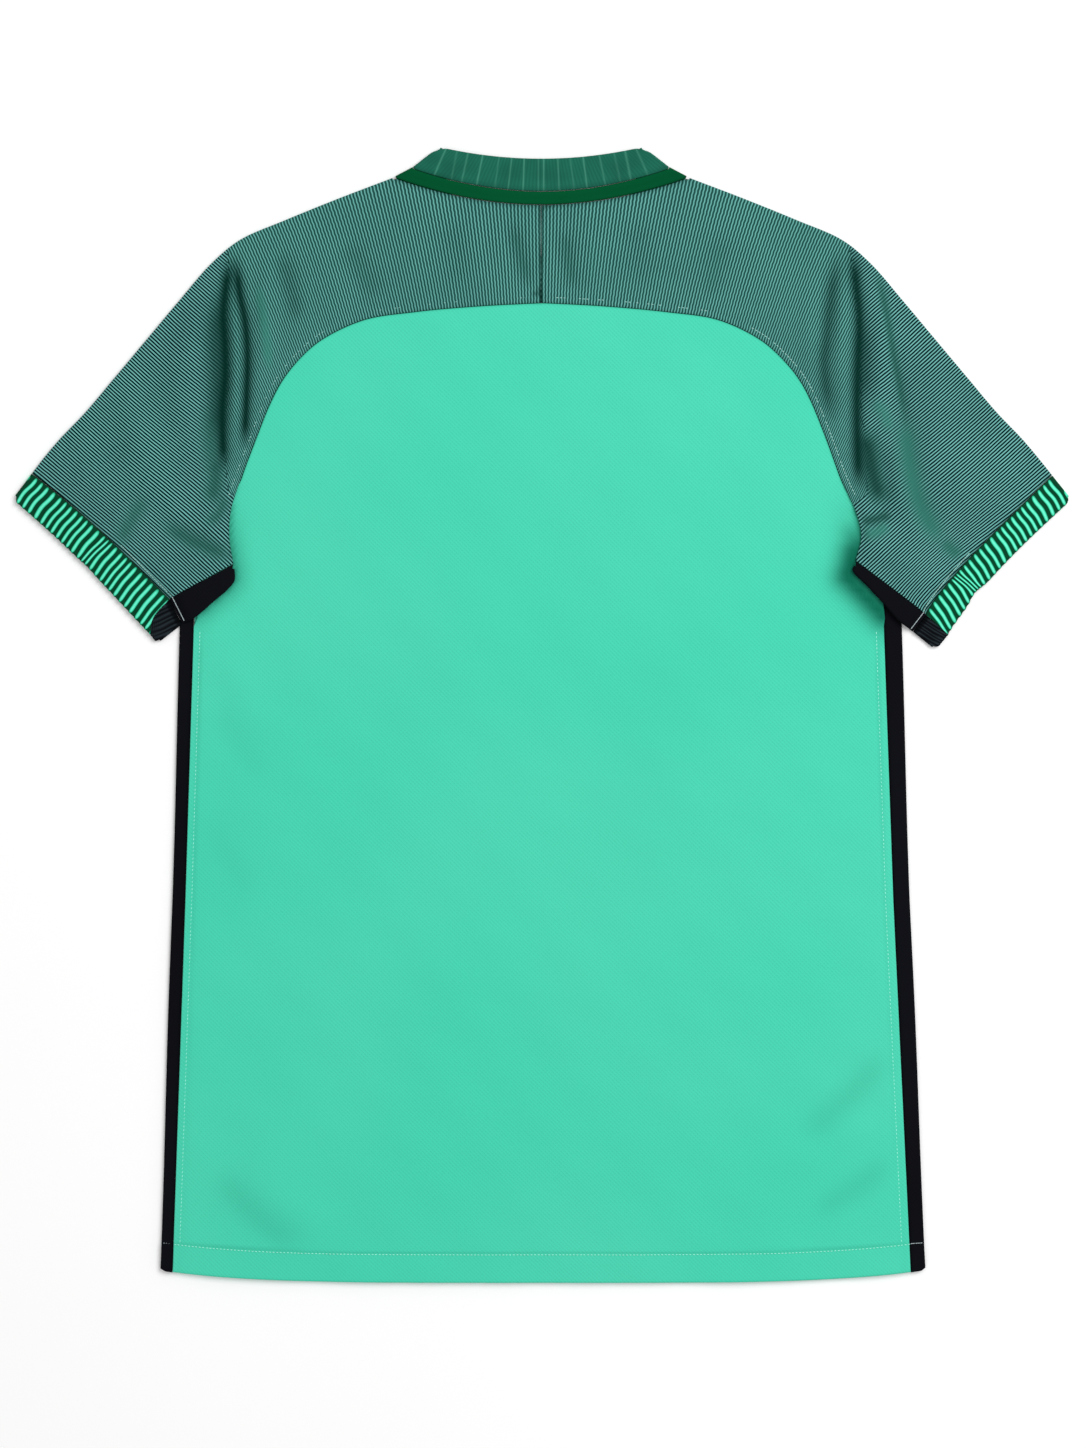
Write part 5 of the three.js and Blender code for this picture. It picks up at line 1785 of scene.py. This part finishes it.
@dataclass
class SidePanel(ClothPiece):
    """A narrow black panel round the side fold of the body."""

    side: Side = SIDES[0]
    rows: int = 150
    corner: float = 4.5

    def build(self) -> None:
        """Makes the panel, with its stretch of the turned hem."""
        side = self.side
        part = near_edge_steps(self.rows, 0.002)
        y = lerp(HEM_Y + HEM_RISE, side.tuck_y, part)
        seam_u = side.seam_u(y) + SEAM_GAP / 2
        centre_u = side.half_width(y) - EDGE_INSET + 0.35 * np.sin(y / 46) * np.sin(part * math.pi)
        q = near_edge_steps(5, 0.08)
        u = lerp(seam_u[:, None], centre_u[:, None], q)
        back = side.points(u, y[:, None])
        height = self.lay.height(back)
        height[:, -1] = EDGE_HEIGHT
        outward = np.broadcast_to([float(side.out), 0.0], (len(y), 2))
        upper, lower = np.full(len(y), EDGE_HEIGHT), np.full(len(y), REST_HEIGHT)
        bend = round_fold(side.points(centre_u, y), outward, upper, lower)
        under = side.points(lerp(centre_u[:, None], seam_u[:, None], np.linspace(0, 1, 5)), y[:, None])
        grid = np.concatenate([lift(back, height), bend, lift(under, REST_HEIGHT)], 1)
        tuck = 1 - 0.5 * smooth(SIDE_TOP_Y - 4, SIDE_TOP_Y + 1, grid[..., 1])
        grid[..., 2] = REST_HEIGHT + (grid[..., 2] - REST_HEIGHT) * tuck
        reach = side.reach(grid[..., :2])
        hem = HEM_Y + HEM_RISE * np.abs(reach / HEM_HALF_WIDTH) ** HEM_ROUNDNESS
        outer = np.maximum(reach - (side.hem_half_width - self.corner), 0)
        hem += self.corner - np.sqrt(np.maximum(self.corner**2 - outer**2, 0))
        low = 1 - smooth(HEM_Y + HEM_RISE, HEM_Y + 26, y)[:, None]
        grid[..., 1] += (hem - HEM_Y - HEM_RISE) * low
        depth = grid[..., 1] - HEM_Y - HEM_RISE
        turned = HEM_FOLD * (1 - smooth(*HEM_TURN_END, depth))
        raised = turned * (grid[..., 2] > EDGE_HEIGHT - 0.3)
        wall = Wall(grid, raised=raised)
        dark = 0.5 * bell(side.seam_u(grid[..., 1]) - side.reach(grid[..., :2]), 1.2)
        piece = wall_object(self.name, wall, self.wardrobe.get(self.finish), {"shade": dark})
        stitch_y = HEM_Y + HEM_RISE + HEM_DEPTH - 0.6
        across = np.linspace(float(side.seam_u(stitch_y)) + 0.4, float(side.half_width(stitch_y)) - 0.8, 8)
        line = side.points(across, stitch_y + 0.06 * (across - across[0]))
        run = StitchRun(f"{side.name}_hem_end", line, Finish.WHITE_THREAD, pitch=1.7, length=1.6, radius=0.24)
        self.declare(piece, wall, [run.build(self.surface, self.wardrobe)])

    def surface(self, points: Array) -> Array:
        """Top of the panel's upper cloth."""
        return np.maximum(self.lay.height(points), EDGE_HEIGHT - 0.1) + CLOTH / 2


@dataclass
class Cuff(ClothPiece):
    """A ribbed cuff, or the black part of it beside the gusset."""

    side: Side = SIDES[0]
    at_heel: bool = False
    ribs: int = 25
    points_a_rib: int = 10
    widths: int = 16
    rib_height: float = 0.6
    sway: float = 0.26
    edge_scallop: float = 0.5
    corner: float = 3.0
    width: float = 26.0
    seam_line: float = 1.1

    def lines(self) -> tuple[Array, Array]:
        """The cuff's two end lines, each from seam to edge.

        Returns:
            The line beside the gusset's corner, and the far line.
        """
        side = self.side
        clear = unit(np.array([side.out, -1.0])) * SEAM_GAP / 2
        along = unit(side.points(*side.cuff_crest_seam) - side.points(*side.cuff_seam)) * SEAM_GAP / 2
        near = side.chain((side.cuff_seam, side.cuff_edge))
        near[0] += clear
        if self.at_heel:
            near[0] -= clear
            far = side.chain((side.heel_seam, side.heel_edge))
            return near - along, far
        far = side.chain((side.cuff_crest_seam, side.cuff_crest_edge))
        far[0] += clear
        return near + along, far

    def rib_place(self, part: Array, q: Array) -> Array:
        """Rib number at a share of the way along and across, swaying and bunched as knitted.

        Args:
            part: Way along the back, 0 to 1, then 1 to 2 along the front.
            q: Way across, from seam to edge.

        Returns:
            The place in ribs, whole on the crown of a rib.
        """
        lean = self.side.rib_lean * q + self.sway * smooth(0.45, 1, q) + 0.1 * np.sin(2 * math.pi * q) * part
        at = self.side.bunch_at
        bunch = 0 if self.at_heel else self.side.bunch * smooth(at - 0.04, at + 0.04, part - 0.04 * (q - 0.5))
        drift = 0.12 * np.sin(part * 17 + 1) + 0.05 * np.sin(part * 41)
        return self.ribs * part + lean + bunch + drift

    def build(self) -> None:
        """Makes the cuff: ribs on top, the fold at its far end, and the front part below."""
        near, far = self.lines()
        outward = away_from(far[0], far[1], near[0])
        inset = far - outward * EDGE_INSET
        inward = unit(near[0] - near[1])
        crest = self.side.chain((self.side.cuff_crest_seam, self.side.cuff_seam))
        bow = 0 if self.at_heel else self.side.edge_bow
        long, wide = float(np.linalg.norm(far[0] - near[0])), float(np.linalg.norm(far[0] - far[1]))
        q = near_edge_steps(self.widths, 0.03)
        top_t = near_edge_steps(self.ribs * self.points_a_rib, 0.002)
        low_t = np.linspace(1, 0, (self.ribs * self.points_a_rib) // 2 + 1)

        def at(t: Array) -> Array:
            """Plan points of the cuff at shares along it.

            Args:
                t: Shares along the cuff.

            Returns:
                The grid of plan points.
            """
            seam = lerp(near[0], inset[0], t[:, None])
            pinch = self.side.bunch_pinch * bell(t - self.side.bunch_at, 0.06) * (bow > 0)
            edge = lerp(near[1], inset[1], t[:, None]) + inward * (bow * np.sin(t * math.pi) + pinch)[:, None]
            left = np.maximum(self.corner - (1 - t) * long, 0)
            drawn = (self.corner - np.sqrt(np.maximum(self.corner**2 - left**2, 0))) / wide
            flat = lerp(seam[:, None], edge[:, None], (q[None] * (1 - drawn[:, None]))[..., None])
            fading = (1 - t[:, None]) ** (1 if self.at_heel else 20)
            bulge = self.side.end_bulge * np.sin(math.pi * q**1.4) * fading
            flat = flat + unit(crest[0] - crest[1]) * bulge[..., None]
            return self.side.bowed(flat)

        above, below = at(top_t), at(low_t)
        height = self.lay.height(above)
        height = lerp(height, EDGE_HEIGHT, smooth(0.97, 1, top_t)[:, None])
        corner = above[-1]
        bend = round_fold(corner, np.broadcast_to(outward, corner.shape), np.full(len(q), EDGE_HEIGHT),
                          np.full(len(q), REST_HEIGHT)).swapaxes(0, 1)
        grid = np.concatenate([lift(above, height), bend, lift(below, REST_HEIGHT)])
        turn = np.linspace(1, 1.012, FOLD_STEPS + 1)[1:-1]
        run = inset[0] - near[0]
        square = ((np.concatenate([above, below]) - near[0]) @ run) / (run @ run)
        round_end = square[len(top_t) - 1][None] + (turn - 1)[:, None]
        part = np.concatenate([square[: len(top_t)], round_end, 2.012 - square[len(top_t):]])
        place = self.rib_place(part, q[None])
        crown = 0.5 + 0.5 * np.cos(2 * math.pi * place)
        above_floor = grid[..., 2] > EDGE_HEIGHT - 0.5
        raised = self.rib_height * crown**0.8 * above_floor
        reach = self.edge_scallop * (crown - 0.5) * smooth(0.75, 1, q)[None]
        grid[..., :2] -= inward * reach[..., None]
        wall = Wall(grid, thickness=CLOTH, raised=raised)
        # Painted shade along the seam and towards the folded edge; on the black end the same value also gives
        # the plain band by the seam its darker colour
        seam_dark = 0.6 * bell(q * self.width, self.seam_line) + 0.2 * smooth(0.92, 1, q)
        seam_dark = np.maximum(seam_dark, 0.9 * (1 - smooth(0.1, 0.2, q)) * self.at_heel)
        taper = 1.1 * np.exp(-((q / 0.06) ** 1.3)) + 0.8 * smooth(0.88, 1.0, q) ** 2
        shades = {
            "shade": np.broadcast_to(seam_dark, grid.shape[:2]),
            "rib_end": np.broadcast_to(taper, grid.shape[:2]),
            # painted highlight on each rib crown, read by the black rib's finish
            "pale": 0.55 * crown**3,
        }
        grains = {"rib_grain": np.stack([place, np.broadcast_to(q, place.shape)], -1)}
        piece = wall_object(self.name, wall, self.wardrobe.get(self.finish), shades, grains)
        self.declare(piece, wall)


@dataclass
class NeckRing(ClothPiece):
    """A band round the neck between two neck lines."""

    free: NeckLine = BAND_TOP
    seam: NeckLine = BAND_SEAM
    thickness: float = CLOTH
    back_steps: int = 160
    front_steps: int = 120
    widths: int = 8
    rise: float = 0.0
    rib_pitch: float = 2.3
    rib_height: float = 0.0
    crown: float = 0.0
    corner: float = 0.0
    corner_reach: float = 3.6
    edge_reach: float = 9.0
    pale_lines: tuple[tuple[float, float], ...] = ()

    def build(self) -> None:
        """Makes the ring: the back on top, a fold at each side and the front below."""
        rest = self.thickness / 2
        inset = ((NECK_FOLD_TOP - rest) / 2 + self.thickness / 2) / NECK_FOLD_SLANT
        free, seam = self.free.drawn_in(inset), self.seam.drawn_in(inset)
        q = near_edge_steps(self.widths, 0.05)
        across = q[None, :, None]
        part = np.linspace(-1, 1, self.back_steps + 1)
        back = lerp(free.back(part)[:, None], seam.back(part)[:, None], across)
        to_fold = (np.abs(part) ** NECK_FOLD_REACH)[:, None]
        level = lerp(self.lay.height(back) + self.rise, NECK_FOLD_TOP, to_fold)
        front_part = np.cos(np.linspace(0, math.pi, self.front_steps + 1))
        front = lerp(free.front(front_part)[:, None], seam.front(front_part)[:, None], across)
        bends = []
        for out in (-1.0, 1.0):
            ends = np.stack([free.back(out), seam.back(out)])
            outward = away_from(ends[0], ends[1], seam.back(0.0))
            centre = lerp(ends[0], ends[1], q[:, None])
            bend = round_fold(centre, np.broadcast_to(outward, centre.shape), np.full(len(q), NECK_FOLD_TOP),
                              np.full(len(q), rest))
            bends.append(bend.swapaxes(0, 1))
        grid = np.concatenate([lift(back, level), bends[1], lift(front, rest), bends[0][::-1]])
        for out in (-1.0, 1.0):
            apex = free.back(out) + [out * inset, 0]
            away = np.linalg.norm(grid[..., :2] - apex, axis=-1)
            drawn = self.corner * bell(away, self.corner_reach)
            grid[..., :2] += unit(np.array([-0.5 * out, -1.0])) * drawn[..., None]
        middle = grid[:, len(q) // 2]
        length = np.cumsum(np.linalg.norm(np.diff(middle, axis=0, prepend=middle[:1]), axis=1))
        place = np.broadcast_to((length / self.rib_pitch)[:, None], grid.shape[:2])
        crest = 0.5 + 0.5 * np.cos(2 * math.pi * place)
        top = np.arange(len(grid)) <= self.back_steps
        raised = (self.rib_height * crest + self.crown * np.sin(q * math.pi)[None] ** 0.6) * top[:, None]
        wall = Wall(grid, thickness=self.thickness, raised=raised, loop=True)
        pale = np.zeros(grid.shape[:2])
        for number, (high, low) in enumerate(self.pale_lines):
            for out in (-1, 1):
                line = lerp(high, low, q)[None] * out
                depth = 0.4 + 0.45 * ((number * 7 + out) % 3) / 2
                pale += depth * bell(grid[..., 0] - AXIS_X - line, 0.5) * top[:, None]
        edge = 0.5 * bell((1 - q) * self.edge_reach, 1.0) + 0.14 * np.sin(math.pi * q) ** 2
        shades = {"pale": np.minimum(pale, 1), "shade": np.broadcast_to(edge, grid.shape[:2])}
        grains = {"rib_grain": np.stack([place, np.broadcast_to(q, place.shape)], -1)}
        piece = wall_object(self.name, wall, self.wardrobe.get(self.finish), shades, grains)
        self.declare(piece, wall)


@dataclass
class Studio:
    """The pale floor, soft light and camera."""

    photo_tall: float = 1448 * 0.68
    lens: float = 85.0
    sensor: float = 36.0
    far_clip: float = 50.0
    look_at: tuple[float, float] = (0.34, -6.46)
    key_power: float = 39.0
    key_size: float = 1.7
    key_place: tuple[float, float, float] = (1.25, 0.95, 2.1)
    sky: float = 0.68
    wardrobe: Wardrobe = field(default_factory=Wardrobe)

    def build(self) -> None:
        """Sets floor, lights, camera and a plain view of the colours."""
        scene = bpy.context.scene
        half = 3000.0
        corners = np.array([(-half, -half, 0), (half, -half, 0), (half, half, 0), (-half, half, 0)], float)
        mesh = bpy.data.meshes.new("floor")
        mesh.from_pydata((corners * MM).tolist(), [], [(0, 1, 2, 3)])
        mesh.materials.append(self.wardrobe.get(Finish.FLOOR))
        floor = bpy.data.objects.new("floor", mesh)
        floor.location.z = -0.0003
        scene.collection.objects.link(floor)
        world = bpy.data.worlds.new("soft room")
        world.use_nodes = True
        world.node_tree.nodes["Background"].inputs["Color"].default_value = (1, 1, 1, 1)
        world.node_tree.nodes["Background"].inputs["Strength"].default_value = self.sky
        scene.world = world
        light = bpy.data.lights.new("key", "AREA")
        light.shape = "DISK"
        light.size = self.key_size
        light.energy = self.key_power
        key = bpy.data.objects.new("key", light)
        key.location = self.key_place
        x, y, z = self.key_place
        key.rotation_euler = (math.atan2(math.hypot(x, y), z), 0, math.atan2(x, -y))
        scene.collection.objects.link(key)
        camera = bpy.data.cameras.new("camera")
        camera.lens = self.lens
        camera.sensor_width = self.sensor
        camera.clip_end = self.far_clip
        eye = bpy.data.objects.new("camera", camera)
        distance = self.photo_tall * self.lens / self.sensor
        eye.location = (self.look_at[0] * MM, self.look_at[1] * MM, (distance + EDGE_HEIGHT) * MM)
        scene.collection.objects.link(eye)
        scene.camera = eye
        scene.view_settings.view_transform = "Standard"


PALE_LINES = (
    (64.5, 72.5), (57, 61), (49.5, 54), (39.5, 43.8), (28.5, 31.4), (19.8, 22.5), (11.4, 12.3), (1.8, 1.8),
)


def main() -> None:
    """Builds the jersey piece by piece, then the studio."""
    logging.basicConfig(level=logging.INFO, format="%(message)s")
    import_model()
    lay, wardrobe = Lay(), Wardrobe()
    BodyPanels(
        lay, wardrobe, name="back_panel", node="back_body", slot="mint_cloth", cut=(0.505, 0.69),
        rests_on=("front_panel",),
    ).build()
    for side in SIDES:
        name = side.name
        Sleeve(
            lay, wardrobe, f"{name}_sleeve", f"sleeve_{name}", "pinstripe_cloth", Finish.PINSTRIPE,
            (0.31, 0.42), ("front_panel",), side,
        ).build()
        Gusset(
            lay, wardrobe, f"{name}_gusset", f"underarm_{name}", "black_cloth", Finish.BLACK, (0.045, 0.06),
            ("back_panel",), side,
        ).build()
        SidePanel(
            lay, wardrobe, f"{name}_side_panel", f"side_{name}", "black_cloth", Finish.BLACK,
            (0.03, 0.445), (), side,
        ).build()
        Cuff(
            lay, wardrobe, f"{name}_cuff", f"cuff_{name}", "cuff_rib", Finish.CUFF, (0.26, 0.03), (), side,
        ).build()
        Cuff(
            lay, wardrobe, f"{name}_cuff_end", f"cuff_underarm_{name}", "black_rib", Finish.BLACK_RIB,
            (0.045, 0.03), (), side, at_heel=True, ribs=6, rib_height=0.4, edge_scallop=0.25, sway=0.3,
        ).build()
    NeckRing(
        lay, wardrobe, "collar_band", "collar", "collar_rib", Finish.COLLAR, (0.42, 0.026), (),
        BAND_TOP, NeckLine(BAND_SEAM.half_width - SEAM_GAP, 371.6, BAND_SEAM.back_y + SEAM_GAP, 289.7),
        thickness=RIB_CLOTH, back_steps=470, front_steps=160, widths=12, rise=0.35, rib_height=0.3,
        corner=1.7, pale_lines=PALE_LINES,
    ).build()
    NeckRing(
        lay, wardrobe, "neck_band", "neck_tape", "neck_tape", Finish.TAPE, (0.46, 0.016), (),
        BAND_SEAM, TAPE_SEAM, back_steps=180, front_steps=120, widths=8, crown=0.3,
    ).build()
    Studio(wardrobe=wardrobe).build()


if __name__ == "__main__":
    main()
